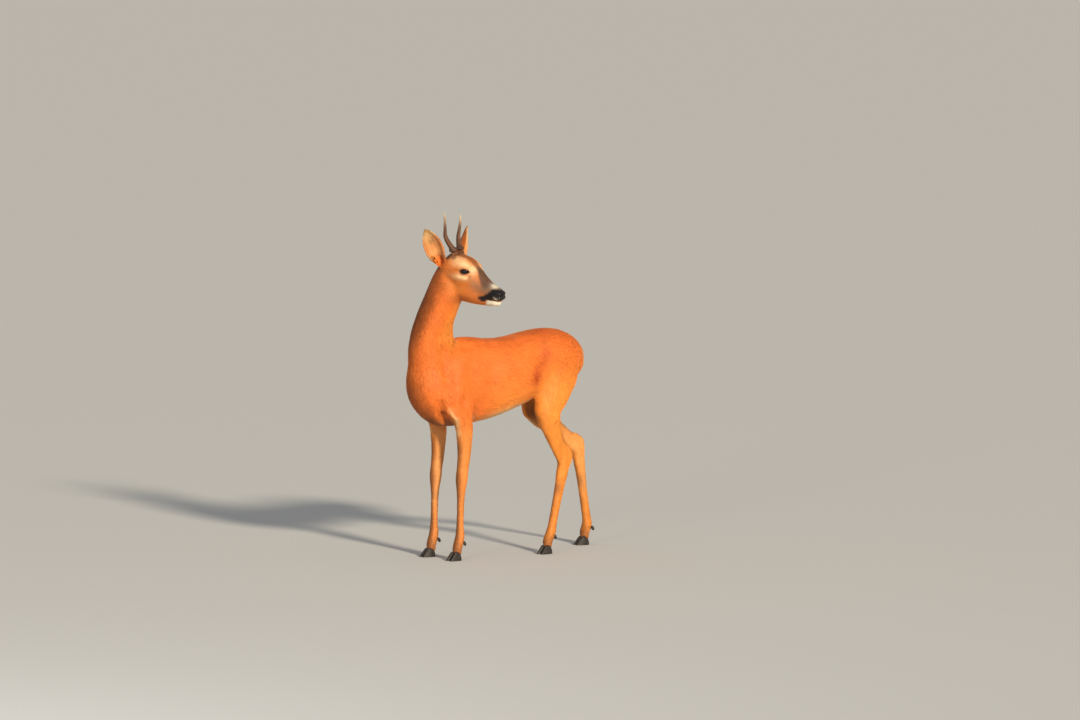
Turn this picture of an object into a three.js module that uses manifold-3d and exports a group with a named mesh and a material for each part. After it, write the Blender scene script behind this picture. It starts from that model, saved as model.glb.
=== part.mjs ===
// A life-size standing roe deer buck that looks back over its left shoulder.
// Millimetres. +X is the way the trunk faces, +Y its left side and +Z up. The soles stand on z = 0.
// The flesh is lofted through named stations, joined to one solid and parted again with thin cuts.
// Eyes, antlers, claws and dewclaws are pieces of their own.
import * as THREE from "three";
import { mergeVertices } from "three/addons/utils/BufferGeometryUtils.js";
import Module from "manifold-3d";

const wasm = await Module();
wasm.setup();

// ---------------------------------------------------------------- driving dimensions

const WITHERS_HEIGHT = 661;
const CROUP_HEIGHT = 671;
const BRISKET_HEIGHT = 392;
const LEG_SPREAD = 65; // from the middle plane to a leg's axis
const PARTING_GAP = 0.3; // between two pieces that meet

const EYE_RADIUS = 15;
const EYE_PLACE = { ahead: -8, aside: 34 }; // an eyeball's centre, in the head's frame

const ANTLER_LENGTH = { left: 104, right: 122 }; // the right one has grown longer
const PEDICLE_RADIUS = 10;

const EAR_LENGTH = 140;
const EAR_WALL = 4;

// The head turns to the left of the trunk, with its muzzle lowered and its right side a little down.
const HEAD = { at: [199, 120, 864], turn: 113, lower: 12, tilt: 5 };

// Joints of the hind legs, in the middle of each leg: the left leg is set forward, the right one back.
const HIND = {
  left: {
    side: 1,
    hip: [-168, 60, 590],
    stifle: [-86, 74, 440],
    hock: [-165, 70, 268],
    fetlock: [-119, 71, 66],
    toe: [-104, 72, 32],
  },
  right: {
    side: -1,
    hip: [-178, -60, 590],
    stifle: [-140, -72, 430],
    hock: [-313, -63, 290],
    fetlock: [-352, -65, 66],
    toe: [-342, -66, 32],
  },
};

const rad = THREE.MathUtils.degToRad;
const vec = (p) => new THREE.Vector3(...p);

// ---------------------------------------------------------------- smooth profiles and lofts

// The smooth value at x through rows [x, a, b, ...], each column without overshoot between its rows.
function through(rows, x) {
  const last = rows.length - 1;
  let i = 0;
  while (i < last - 1 && x > rows[i + 1][0]) i++;
  const slope = (k, c) => (rows[k + 1][c] - rows[k][c]) / (rows[k + 1][0] - rows[k][0]);
  const tangent = (k, c) => {
    if (k === 0) return slope(0, c);
    if (k === last) return slope(last - 1, c);
    const a = slope(k - 1, c);
    const b = slope(k, c);
    return a * b <= 0 ? 0 : (2 * a * b) / (a + b);
  };
  const step = rows[i + 1][0] - rows[i][0];
  const u = THREE.MathUtils.clamp((x - rows[i][0]) / step, 0, 1);
  const values = [];
  for (let c = 1; c < rows[0].length; c++) {
    const p = rows[i][c];
    const q = rows[i + 1][c];
    const rise = q - p;
    const m = tangent(i, c) * step;
    const n = tangent(i + 1, c) * step;
    values.push(p + u * (m + u * (3 * rise - 2 * m - n + u * (m + n - 2 * rise))));
  }
  return values;
}

// A closed surface over rings of points, each ring an array of Vector3, as a manifold-3d solid.
function solidOfRings(rings) {
  const sides = rings[0].length;
  const points = rings.flat();
  const faces = [];
  for (let i = 0; i + 1 < rings.length; i++)
    for (let j = 0; j < sides; j++) {
      const a = i * sides + j;
      const b = i * sides + ((j + 1) % sides);
      faces.push([a, b, b + sides], [a, b + sides, a + sides]);
    }
  for (const [ring, turned] of [[rings[0], true], [rings.at(-1), false]]) {
    const first = turned ? 0 : points.length - sides - (rings.capped ? 1 : 0);
    const middle = points.length;
    points.push(ring.reduce((sum, p) => sum.add(p), new THREE.Vector3()).divideScalar(sides));
    for (let j = 0; j < sides; j++) {
      const a = first + j;
      const b = first + ((j + 1) % sides);
      faces.push(turned ? [b, a, middle] : [a, b, middle]);
    }
    rings.capped = true;
  }
  return solidOfMesh(new Float32Array(points.flatMap((p) => p.toArray())), faces);
}

// Turns a shape whose faces point inwards round, by the sign of its volume.
function solidOfMesh(vertProperties, faces) {
  const at = (i) => new THREE.Vector3().fromArray(vertProperties, i * 3);
  const volume = faces.reduce((sum, [a, b, c]) => sum + at(a).dot(at(b).cross(at(c))), 0);
  const out = volume < 0 ? faces.map(([a, b, c]) => [a, c, b]) : faces;
  return new wasm.Manifold(
    new wasm.Mesh({ numProp: 3, vertProperties, triVerts: new Uint32Array(out.flat()) }),
  );
}

function solidOfGeometry(geometry, matrix = new THREE.Matrix4()) {
  const g = geometry.clone().applyMatrix4(matrix);
  g.deleteAttribute("normal");
  g.deleteAttribute("uv");
  const merged = mergeVertices(g, 1e-4);
  return new wasm.Manifold(
    new wasm.Mesh({
      numProp: 3,
      vertProperties: merged.attributes.position.array,
      triVerts: new Uint32Array(merged.index.array),
    }),
  );
}

// One ring of a loft: an oval about a centre, with its own reach up, down and to each side.
function ovalRing({ at, side, up, wide, above, below, square = 2 }, sides) {
  const power = 2 / square;
  const bent = (v) => Math.sign(v) * Math.abs(v) ** power;
  return Array.from({ length: sides }, (_, j) => {
    const angle = (2 * Math.PI * (j + 0.5)) / sides;
    const s = Math.sin(angle);
    return at
      .clone()
      .addScaledVector(side, wide * bent(Math.cos(angle)))
      .addScaledVector(up, (s > 0 ? above : below) * bent(s));
  });
}

// A limb: stations [x, y, z, fore, aft, half width] on a smooth path, sectioned across the path.
function limb(stations, steps, sides, grow = 0) {
  const path = new THREE.CatmullRomCurve3(
    stations.map((s) => vec(s)),
    false,
    "centripetal",
  );
  const last = stations.length - 1;
  const sizes = stations.map((s, i) => [i / last, ...s.slice(3)]);
  const rings = [];
  for (let i = 0; i <= steps; i++) {
    const t = i / steps;
    const [fore, aft, wide] = through(sizes, t);
    const along = path.getTangent(t);
    const side = new THREE.Vector3(0, 1, 0).projectOnPlane(along).normalize();
    const up = new THREE.Vector3().crossVectors(side, along).normalize();
    if (up.x < 0) up.negate();
    const at = path.getPoint(t);
    rings.push(
      ovalRing(
        { at, side, up, wide: wide + grow, above: fore + grow, below: aft + grow },
        sides,
      ),
    );
  }
  return solidOfRings(rings);
}

const joined = (solids) => solids.reduce((all, s) => all.add(s));

// ---------------------------------------------------------------- trunk

// Stations along X: [x, top, bottom, half width, height of the widest place, squareness].
const TRUNK = [
  [-281, 588, 552, 12, 568, 2.0],
  [-272, 612, 536, 33, 570, 2.0],
  [-253, 634, 518, 54, 572, 2.0],
  [-224, 653, 502, 73, 574, 2.1],
  [-185, 667, 487, 86, 576, 2.2],
  [-140, CROUP_HEIGHT, 474, 91, 578, 2.2],
  [-95, 668, 460, 94, 566, 2.2],
  [-50, 660, 444, 98, 550, 2.2],
  [0, 652, 427, 101, 536, 2.2],
  [50, 649, 412, 100, 524, 2.2],
  [100, 653, 402, 95, 514, 2.2],
  [150, WITHERS_HEIGHT, 396, 90, 508, 2.1],
  [200, 655, BRISKET_HEIGHT, 85, 504, 2.1],
  [250, 640, 396, 79, 502, 2.1],
  [290, 638, 418, 70, 510, 2.1],
  [318, 618, 447, 56, 518, 2.0],
  [335, 592, 474, 36, 526, 2.0],
  [342, 562, 498, 13, 530, 2.0],
];

function trunk() {
  const first = TRUNK[0][0];
  const length = TRUNK.at(-1)[0] - first;
  const steps = 20;
  const rings = [];
  for (let i = 0; i <= steps; i++) {
    // Rings crowd towards the two ends, where the trunk rounds off.
    const x = first + (length * (1 - Math.cos((Math.PI * i) / steps))) / 2;
    const [top, bottom, wide, middle, square] = through(TRUNK, x);
    rings.push(
      ovalRing(
        {
          at: new THREE.Vector3(x, 0, middle),
          side: new THREE.Vector3(0, 1, 0),
          up: new THREE.Vector3(0, 0, 1),
          wide,
          above: top - middle,
          below: middle - bottom,
          square,
        },
        18,
      ),
    );
  }
  return solidOfRings(rings);
}

function tail() {
  const stations = [
    [-256, 0, 618, 12, 12, 13],
    [-276, 0, 603, 10, 10, 13],
    [-287, 0, 584, 8, 8, 10],
    [-291, 0, 568, 3, 3, 4],
  ];
  return limb(stations, 5, 8);
}

// ---------------------------------------------------------------- neck

// Stations up the neck: [x, y, z, towards the throat, towards the nape, half width, throat's bearing].
const NECK = [
  [204, 0, 500, 60, 60, 56, 0],
  [226, 0, 530, 78, 84, 68, 0],
  [256, 0, 580, 86, 84, 65, 0],
  [267, 2, 640, 78, 78, 59, 6],
  [264, 8, 700, 70, 68, 57, 26],
  [250, 22, 755, 63, 59, 56, 54],
  [238, 38, 805, 60, 54, 54, 84],
  [230, 49, 846, 52, 51, 47, 104],
  [222, 66, 872, 30, 32, 30, 112],
];

function neck() {
  const path = new THREE.CatmullRomCurve3(NECK.map((s) => vec(s)), false, "centripetal");
  const last = NECK.length - 1;
  const sizes = NECK.map((s, i) => [i / last, ...s.slice(3)]);
  const steps = 11;
  const rings = [];
  for (let i = 0; i <= steps; i++) {
    const t = i / steps;
    const [throat, nape, wide, bearing] = through(sizes, t);
    const along = path.getTangent(t);
    const ahead = new THREE.Vector3(Math.cos(rad(bearing)), Math.sin(rad(bearing)), 0);
    const up = ahead.projectOnPlane(along).normalize();
    const side = new THREE.Vector3().crossVectors(along, up).normalize();
    rings.push(
      ovalRing({ at: path.getPoint(t), side, up, wide, above: throat, below: nape }, 18),
    );
  }
  return solidOfRings(rings);
}

// ---------------------------------------------------------------- head, in its own frame

// The frame's origin lies a little ahead of the line from eye to eye, with +X to the muzzle, +Y left and +Z up.
const head = new THREE.Group();
head.position.set(...HEAD.at);
head.rotation.set(rad(HEAD.tilt), rad(HEAD.lower), rad(HEAD.turn), "ZYX");
head.updateMatrixWorld(true);

// Stations along the head's X: [x, top, bottom, half width, height of the widest place, squareness].
const SKULL = [
  [-106, -6, -36, 12, -20, 2.0],
  [-100, 10, -52, 29, -18, 2.0],
  [-84, 26, -64, 42, -12, 2.1],
  [-58, 36, -72, 46, -8, 2.1],
  [-32, 37, -78, 46, -6, 2.1],
  [-8, 31, -82, 44, -5, 2.1],
  [10, 18, -83, 37, -12, 2.1],
  [28, 4, -82, 30, -26, 2.1],
  [46, -8, -80, 25.5, -38, 2.1],
  [64, -18, -78, 22.5, -46, 2.1],
  [82, -26, -75, 21, -50, 2.2],
  [97, -31, -72, 21, -52, 2.3],
  [107, -34.5, -69, 19, -52, 2.4],
  [113, -38, -65, 15.5, -52, 2.3],
  [116, -43, -60, 9, -52, 2.1],
];
const JAW = [
  [-86, -30, -60, 18, -46, 2.0],
  [-76, -14, -84, 34, -46, 2.1],
  [-52, -6, -97, 41, -46, 2.2],
  [-22, -8, -101, 39, -50, 2.3],
  [12, -22, -100, 32.5, -58, 2.3],
  [40, -44, -97, 25, -66, 2.2],
  [66, -58, -93, 19.5, -73, 2.1],
  [92, -62, -88, 16, -75, 2.2],
  [103, -64, -83, 12.5, -75, 2.1],
  [108, -68, -79, 5, -75, 2.0],
];

function lengthwise(rows, steps, sides) {
  const first = rows[0][0];
  const length = rows.at(-1)[0] - first;
  const rings = [];
  for (let i = 0; i <= steps; i++) {
    const even = i / steps;
    const eased = (1 - Math.cos(Math.PI * even)) / 2;
    const x = first + length * THREE.MathUtils.lerp(even, eased, 0.6);
    const [top, bottom, wide, middle, square] = through(rows, x);
    rings.push(
      ovalRing(
        {
          at: new THREE.Vector3(x, 0, middle),
          side: new THREE.Vector3(0, 1, 0),
          up: new THREE.Vector3(0, 0, 1),
          wide,
          above: top - middle,
          below: middle - bottom,
          square,
        },
        sides,
      ),
    );
  }
  return solidOfRings(rings);
}

const transformed = (solid, matrix) => solid.transform(matrix.elements);

// Each antler's frame: on the crown, leaning out and a little back.
function antlerFrame(side) {
  const frame = new THREE.Group();
  frame.position.set(-56, side * 14, 28);
  frame.rotation.set(rad(-side * 8), rad(-26), 0, "ZYX");
  return frame;
}
const PEDICLE_TOP = 17;

function pedicle(side) {
  const frame = antlerFrame(side);
  frame.updateMatrix();
  const outline = [
    [0, -12],
    [PEDICLE_RADIUS + 3, -12],
    [PEDICLE_RADIUS + 1, 4],
    [PEDICLE_RADIUS, PEDICLE_TOP],
    [0, PEDICLE_TOP],
  ].map(([x, y]) => new THREE.Vector2(x, y));
  const lathe = new THREE.LatheGeometry(outline, 10).rotateX(Math.PI / 2);
  return solidOfGeometry(lathe, frame.matrix);
}

// ---------------------------------------------------------------- ears

// Along an ear: [share of the length, half width, half angle of the cup, wall].
const EAR = [
  [0, 15, 150, 9],
  [0.12, 19, 120, 7],
  [0.25, 24, 96, EAR_WALL + 1],
  [0.42, 29, 80, EAR_WALL],
  [0.58, 28, 68, EAR_WALL],
  [0.74, 22, 56, EAR_WALL],
  [0.88, 12.5, 46, EAR_WALL - 0.8],
  [0.97, 4.5, 40, EAR_WALL - 1.6],
  [1, 1.6, 40, EAR_WALL - 2],
];
// Where each ear grows from, where it points, and the way its cup opens, in the head's frame. Its
// middle bows and its tip curls that way, by these millimetres.
const EARS = {
  right: { root: [-84, -38, -5], to: [-40, -58, 112], opens: [0.55, -0.8, 0.2], bow: 0, curl: 7 },
  left: { root: [-73, 42, -4], to: [-46, 92, 88], opens: [0.97, 0.2, -0.1], bow: 11, curl: 0 },
};

function ear({ root, to, opens, bow, curl }) {
  const along = vec(to).normalize();
  const open = vec(opens).projectOnPlane(along).normalize();
  const side = new THREE.Vector3().crossVectors(along, open);
  const steps = 11;
  const across = 5;
  const rings = [];
  for (let i = 0; i <= steps; i++) {
    const t = i / steps;
    const [wide, cup, wall] = through(EAR, t);
    const half = rad(cup);
    const radius = cup > 90 ? wide : wide / Math.sin(half);
    const forwards = radius * Math.cos(half) * 0.6 + bow * Math.sin(Math.PI * t) + curl * t ** 3;
    const middle = vec(root).addScaledVector(along, EAR_LENGTH * t).addScaledVector(open, forwards);
    const arc = (r, from, by) =>
      Array.from({ length: across + 1 }, (_, j) => {
        const angle = from + (by * j) / across;
        return middle
          .clone()
          .addScaledVector(open, -r * Math.cos(angle))
          .addScaledVector(side, r * Math.sin(angle));
      });
    rings.push([...arc(radius, -half, 2 * half), ...arc(radius - wall, half, -2 * half)]);
  }
  return solidOfRings(rings);
}

// ---------------------------------------------------------------- legs

// Down a foreleg: [x, z, fore, aft, half width].
const FORELEG = [
  [180, 618, 24, 26, 9],
  [202, 570, 52, 54, 21],
  [222, 515, 62, 68, 29],
  [222, 465, 52, 68, 31],
  [206, 430, 37, 50, 28],
  [196, 400, 29, 34, 24],
  [194, 360, 25, 26, 21],
  [195, 315, 21.5, 22.5, 18.5],
  [200, 272, 19.5, 19, 17],
  [203, 248, 20, 19, 18],
  [205, 226, 18.5, 18, 16.5],
  [207, 196, 12.5, 13.5, 11.5],
  [209, 145, 11, 12.5, 10.5],
  [211, 96, 11.5, 13.5, 11],
  [212, 68, 14, 17.5, 14.5],
  [217, 50, 13.5, 15, 14.5],
  [222, 32, 14, 16, 16],
  [220, 14, 9, 13, 12],
];

function foreleg(side) {
  const y = (z) => side * (LEG_SPREAD + 1.5 - 10 * THREE.MathUtils.smoothstep(z, 440, 615));
  const stations = FORELEG.map(([x, z, ...sizes]) => [x, y(z), z, ...sizes]);
  return limb(stations, 21, 10);
}

// A point between two joints, moved forward and down by some millimetres.
function between(a, b, share, forward = 0, down = 0) {
  const p = vec(a).lerp(vec(b), share);
  return [p.x + forward, p.y, p.z - down];
}

// The thigh and shank, then the cannon and foot, then the heel with its tendon.
function hindleg({ side, hip, stifle, hock, fetlock, toe }) {
  const thigh = [
    [...between(hip, stifle, -0.2), 40, 52, 13],
    [...between(hip, stifle, 0.08), 70, 78, 26],
    [...between(hip, stifle, 0.42, -6), 80, 80, 33],
    [...between(hip, stifle, 0.78, -18), 64, 62, 33],
    [...between(stifle, hock, 0.08, -12), 47, 49, 30],
    [...between(stifle, hock, 0.3, -5), 34, 39, 25],
    [...between(stifle, hock, 0.55), 25, 32, 19],
    [...between(stifle, hock, 0.8), 19, 31, 15],
    [...between(stifle, hock, 0.94), 17, 34, 13.5],
  ];
  const cannon = [
    [...between(hock, stifle, 0.16), 14, 14, 14],
    [...between(hock, stifle, 0.02, -1), 18, 20, 16.5],
    [...between(hock, fetlock, 0.13, 1), 17, 25, 15],
    [...between(hock, fetlock, 0.3), 14.5, 20.5, 12.5],
    [...between(hock, fetlock, 0.6), 13, 17, 11.5],
    [...between(hock, fetlock, 0.88), 13, 15.5, 12],
    [...fetlock, 15, 18, 15],
    [...between(fetlock, toe, 0.55), 14, 15.5, 15],
    [...toe, 14, 16, 16],
    [toe[0] - 3, toe[1], 14, 9, 13, 12],
  ];
  const back = vec(hock).sub(vec(fetlock)).normalize();
  const heel = vec(hock).addScaledVector(back, 26);
  const tip = [heel.x - 25, hock[1], heel.z + 2];
  const tendon = [
    [...between(stifle, hock, 0.5, -22, -2), 14, 9, 9],
    [...between(stifle, hock, 0.74, -27, -10), 13, 8, 8],
    [tip[0] + 9, tip[1], tip[2] + 8, 15, 9, 10],
    [tip[0] + 3, tip[1], tip[2] - 6, 16, 9, 11],
    [...between(tip, fetlock, 0.16, 4), 14, 9, 10.5],
    [...between(tip, fetlock, 0.34, 7), 10, 6, 8],
  ];
  return [limb(thigh, 12, 12), limb(cannon, 12, 10), limb(tendon, 6, 6)];
}

// ---------------------------------------------------------------- claws

const CLAW = { length: 42, height: 27, wide: 14.5, apart: 16.4 };

// One claw: a flat sole, a steep front wall and a low heel, lofted from its heel to its toe.
function clawShape() {
  const { length, height, wide } = CLAW;
  const rows = [
    // share of the length, share of the height, share of the width
    [0, 0.45, 0.6],
    [0.1, 0.7, 0.9],
    [0.3, 0.92, 1],
    [0.5, 1, 0.96],
    [0.76, 0.56, 0.72],
    [1, 0.09, 0.16],
  ];
  const rings = rows.map(([ahead, tall, broad]) => {
    const x = length * (ahead - 0.42);
    const half = (wide * broad) / 2;
    const top = height * tall;
    const outline = [[1, 0], [0.98, 0.4], [0.62, 1], [-0.62, 1], [-0.98, 0.4], [-1, 0]];
    return outline.map(([y, z]) => new THREE.Vector3(x, y * half, z * top));
  });
  return geometryOfSolid(solidOfRings(rings));
}

function dewclawShape() {
  const outline = [
    [0, -9],
    [4.8, -4],
    [4.8, 4],
    [0, 9],
  ].map(([x, y]) => new THREE.Vector2(x, y));
  return new THREE.LatheGeometry(outline, 7).rotateX(Math.PI / 2);
}

// The feet: where each stands and which way its toes point.
const FEET = {
  fore_left: { toe: [224, LEG_SPREAD + 1.5], bearing: 6 },
  fore_right: { toe: [224, -LEG_SPREAD - 1.5], bearing: -6 },
  hind_left: { toe: HIND.left.toe, bearing: 7 },
  hind_right: { toe: HIND.right.toe, bearing: -7 },
};

function footGroup(name, { toe, bearing }) {
  const foot = new THREE.Group();
  foot.position.set(toe[0], toe[1], 0);
  foot.rotation.z = rad(bearing);
  for (const [which, out] of [["inner", -1], ["outer", 1]]) {
    const side = out * Math.sign(toe[1]);
    const claw = piece(`claw_${name}_${which}`, clawShape(), finishes.claw);
    claw.position.set(6, (side * CLAW.apart) / 2, 0);
    claw.rotation.z = rad(side * 4);
    foot.add(claw);
    const dewclaw = piece(`dewclaw_${name}_${which}`, dewclawShape(), finishes.claw);
    dewclaw.position.set(-24.5, side * 10, 50);
    dewclaw.rotation.set(rad(side * 8), rad(24), 0);
    foot.add(dewclaw);
  }
  return foot;
}

// ---------------------------------------------------------------- antlers and eyes

// Up an antler: [share of the length, forward, outward, radius].
const BEAM = [
  [0, 0, 0, 9],
  [0.03, -0.5, 0.3, 12.5],
  [0.07, -1.5, 1, 11.5],
  [0.12, -3, 2.5, 8.2],
  [0.22, -4.5, 5.7, 7.4],
  [0.34, -5.8, 9.4, 6.7],
  [0.46, -4.6, 11.4, 5.8],
  [0.64, 3.6, 11, 4.6],
  [0.85, 12.2, 9.2, 3.1],
  [0.97, 15.6, 9.6, 1.7],
  [1, 16.2, 9.8, 0.8],
];

function antlerShape(side) {
  const steps = 14;
  const length = side > 0 ? ANTLER_LENGTH.left : ANTLER_LENGTH.right;
  const rings = [];
  for (let i = 0; i <= steps; i++) {
    const t = THREE.MathUtils.lerp(i / steps, (i / steps) ** 1.7, 0.7);
    const [ahead, out, radius] = through(BEAM, t);
    const at = new THREE.Vector3(ahead, side * out, PEDICLE_TOP + PARTING_GAP + length * t);
    const ring = ovalRing(
      {
        at,
        side: new THREE.Vector3(0, 1, 0),
        up: new THREE.Vector3(1, 0, 0),
        wide: radius,
        above: radius,
        below: radius,
      },
      8,
    );
    rings.push(ring);
  }
  return geometryOfSolid(solidOfRings(rings));
}

function geometryOfSolid(solid) {
  const { vertProperties, triVerts } = solid.getMesh();
  return new THREE.BufferGeometry()
    .setAttribute("position", new THREE.BufferAttribute(vertProperties, 3))
    .setIndex(new THREE.BufferAttribute(triVerts, 1));
}

const eyePlace = (side) => [EYE_PLACE.ahead, side * EYE_PLACE.aside, 0];

// ---------------------------------------------------------------- the whole animal

const finishes = {
  coat: new THREE.MeshStandardMaterial({ color: 0xb8622c, roughness: 0.85, metalness: 0 }),
  face: new THREE.MeshStandardMaterial({ color: 0xa87a4e, roughness: 0.85, metalness: 0 }),
  antler: new THREE.MeshStandardMaterial({ color: 0x6b4a33, roughness: 0.6, metalness: 0 }),
  claw: new THREE.MeshStandardMaterial({ color: 0x1e1a18, roughness: 0.45, metalness: 0 }),
  eye: new THREE.MeshStandardMaterial({ color: 0x140d0a, roughness: 0.05, metalness: 0 }),
};

function piece(name, geometry, finish) {
  const mesh = new THREE.Mesh(geometry, finish);
  mesh.name = name;
  return mesh;
}

const deer = new THREE.Group();

for (const [name, foot] of Object.entries(FEET)) deer.add(footGroup(name, foot));

for (const [name, side] of [["left", 1], ["right", -1]]) {
  const eye = piece(`eye_${name}`, new THREE.SphereGeometry(EYE_RADIUS, 12, 9), finishes.eye);
  eye.position.set(...eyePlace(side));
  head.add(eye);
  const frame = antlerFrame(side);
  frame.add(piece(`antler_${name}`, antlerShape(side), finishes.antler));
  head.add(frame);
}
deer.add(head);
deer.updateMatrixWorld(true);

// Room for the hard pieces: each is cut out of the flesh a little larger than it is.
function hardPieces() {
  const solids = [];
  deer.traverse((o) => {
    if (!o.isMesh) return;
    o.geometry.computeBoundingBox();
    const size = o.geometry.boundingBox.getSize(new THREE.Vector3());
    const middle = o.geometry.boundingBox.getCenter(new THREE.Vector3());
    const larger = size.clone().addScalar(2 * PARTING_GAP).divide(size);
    const room = new THREE.Matrix4()
      .makeTranslation(middle)
      .scale(larger)
      .multiply(new THREE.Matrix4().makeTranslation(middle.clone().negate()));
    solids.push(solidOfGeometry(o.geometry, new THREE.Matrix4().multiplyMatrices(o.matrixWorld, room)));
  });
  return joined(solids);
}

const headFlesh = joined([
  lengthwise(SKULL, 17, 16),
  lengthwise(JAW, 9, 10),
  pedicle(1),
  pedicle(-1),
  ear(EARS.left),
  ear(EARS.right),
]);

let flesh = joined([
  trunk(),
  tail(),
  neck(),
  transformed(headFlesh, head.matrixWorld),
  foreleg(1),
  foreleg(-1),
  ...hindleg(HIND.left),
  ...hindleg(HIND.right),
]).subtract(hardPieces());

// An ear's own frame, from its root along its length.
function earFrame({ root, to }) {
  const frame = new THREE.Group();
  frame.position.set(...root);
  frame.quaternion.setFromUnitVectors(new THREE.Vector3(0, 0, 1), vec(to).normalize());
  head.add(frame);
  frame.updateWorldMatrix(true, false);
  return frame;
}

// Each region holds one part of the flesh: an outline [x, z] in a frame, between two values of y.
// Its part is drawn back by the parting gap along `away`, so that it clears what it is cut from.
const EAR_CUT = EAR_LENGTH * 0.3;
const EAR_OUTLINE = [[-65, EAR_CUT], [65, EAR_CUT], [65, 160], [-65, 160]];
const FORELEG_OUTLINE = [[80, -20], [320, -20], [320, 398], [80, 398]];
const HINDLEG_OUTLINE = [[-460, -20], [-34, -20], [-34, 438], [-150, 466], [-300, 502], [-460, 520]];
const REGIONS = [
  { name: "ear_left", frame: earFrame(EARS.left), outline: EAR_OUTLINE, y: [-60, 60], away: [0, 0, 1] },
  { name: "ear_right", frame: earFrame(EARS.right), outline: EAR_OUTLINE, y: [-60, 60], away: [0, 0, 1] },
  {
    name: "head",
    frame: head,
    outline: [[-139, 50], [-46, -125], [200, -200], [200, 200], [-139, 200]],
    y: [-160, 160],
    away: [0.9, 0, 0.4],
  },
  {
    name: "neck",
    outline: [[-11, 738], [444, 528], [444, 1100], [-11, 1100]],
    y: [-200, 300],
    away: [0, 0, 1],
  },
  { name: "foreleg_left", outline: FORELEG_OUTLINE, y: [36, 170], away: [0, 0, -1] },
  { name: "foreleg_right", outline: FORELEG_OUTLINE, y: [-170, -36], away: [0, 0, -1] },
  { name: "hindleg_left", outline: HINDLEG_OUTLINE, y: [18, 170], away: [0, 0, -1] },
  { name: "hindleg_right", outline: HINDLEG_OUTLINE, y: [-170, -18], away: [0, 0, -1] },
  {
    name: "tail",
    outline: [[-262, 640], [-340, 640], [-340, 540], [-275, 540]],
    y: [-14, 14],
    away: [-1, 0, 0],
  },
];

function regionSolid({ frame, outline, y }) {
  const shape = new THREE.Shape(outline.map(([x, z]) => new THREE.Vector2(x, z)));
  const slab = new THREE.ExtrudeGeometry(shape, { depth: y[1] - y[0], bevelEnabled: false });
  slab.rotateX(Math.PI / 2).translate(0, y[1], 0);
  return solidOfGeometry(slab, frame?.matrixWorld);
}

for (const region of REGIONS) {
  const solid = regionSolid(region);
  const away = vec(region.away).setLength(PARTING_GAP);
  if (region.frame) away.transformDirection(region.frame.matrixWorld).setLength(PARTING_GAP);
  const part = flesh.intersect(solid.translate(away.toArray()));
  const finish = region.frame ? finishes.face : finishes.coat;
  deer.add(piece(region.name, geometryOfSolid(part), finish));
  flesh = flesh.subtract(solid);
}
deer.add(piece("trunk", geometryOfSolid(flesh), finishes.coat));

// The part's origin is on the floor, in the middle of its box.
const whole = new THREE.Box3().setFromObject(deer);
const middle = whole.getCenter(new THREE.Vector3());
deer.position.set(-middle.x, -middle.y, -whole.min.z);

export default new THREE.Group().add(deer);
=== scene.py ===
import math

import bmesh
import bpy
import numpy as np
from mathutils import Matrix, Vector
from mathutils.bvhtree import BVHTree


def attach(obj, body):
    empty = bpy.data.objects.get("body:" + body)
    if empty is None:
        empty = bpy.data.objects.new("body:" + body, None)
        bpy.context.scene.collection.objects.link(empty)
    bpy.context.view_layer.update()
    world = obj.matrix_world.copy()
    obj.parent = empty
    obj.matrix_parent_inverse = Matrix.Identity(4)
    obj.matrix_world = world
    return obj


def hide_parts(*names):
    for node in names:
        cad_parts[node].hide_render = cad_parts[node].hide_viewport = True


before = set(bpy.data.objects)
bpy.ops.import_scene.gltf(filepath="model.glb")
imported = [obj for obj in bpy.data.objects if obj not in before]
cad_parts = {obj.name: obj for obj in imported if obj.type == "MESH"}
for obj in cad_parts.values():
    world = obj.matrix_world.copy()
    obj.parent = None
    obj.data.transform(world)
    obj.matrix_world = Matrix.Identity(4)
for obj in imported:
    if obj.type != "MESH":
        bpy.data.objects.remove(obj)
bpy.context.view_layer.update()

# ------------------------------------------------------------------ the studio
# A wide pale floor, one broad warm light from high on the right, a cool fill and a pale world, seen
# by a long lens from a little above the model and a third of a turn round from its side.
VIEW_TURN = math.radians(144)
VIEW_RISE = math.radians(5)
LENS = 300
SENSOR = 36
FRAME_WIDTH = 3.218  # metres across the frame, at the model
FRAME_DOTS = (1080, 720)
STAND = Vector((0.0156, -0.0575, 0.0))  # the floor under the trunk
STAND_IN_FRAME = (504.5, 553.8)  # the dot of the frame where that floor shows
LAMP_AIM = Vector((0, 0, 0.5))
LAMP_REACH = 6

to_camera = Vector((
    math.sin(VIEW_TURN) * math.cos(VIEW_RISE),
    -math.cos(VIEW_TURN) * math.cos(VIEW_RISE),
    math.sin(VIEW_RISE),
))
frame_right = Vector((math.cos(VIEW_TURN), math.sin(VIEW_TURN), 0))
frame_up = to_camera.cross(frame_right)
metres_per_dot = FRAME_WIDTH / FRAME_DOTS[0]
aim = (
    STAND
    + frame_right * (FRAME_DOTS[0] / 2 - STAND_IN_FRAME[0]) * metres_per_dot
    + frame_up * (STAND_IN_FRAME[1] - FRAME_DOTS[1] / 2) * metres_per_dot
)
camera = bpy.data.objects.new("camera", bpy.data.cameras.new("camera"))
camera.data.lens = LENS
camera.data.sensor_width = SENSOR
camera.data.clip_end = 400
camera.location = aim + to_camera * (LENS / SENSOR * FRAME_WIDTH)
camera.rotation_euler = to_camera.to_track_quat("Z", "Y").to_euler()
bpy.context.scene.collection.objects.link(camera)
bpy.context.scene.camera = camera


def shade_smooth(mesh):
    mesh.polygons.foreach_set("use_smooth", [True] * len(mesh.polygons))


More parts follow.
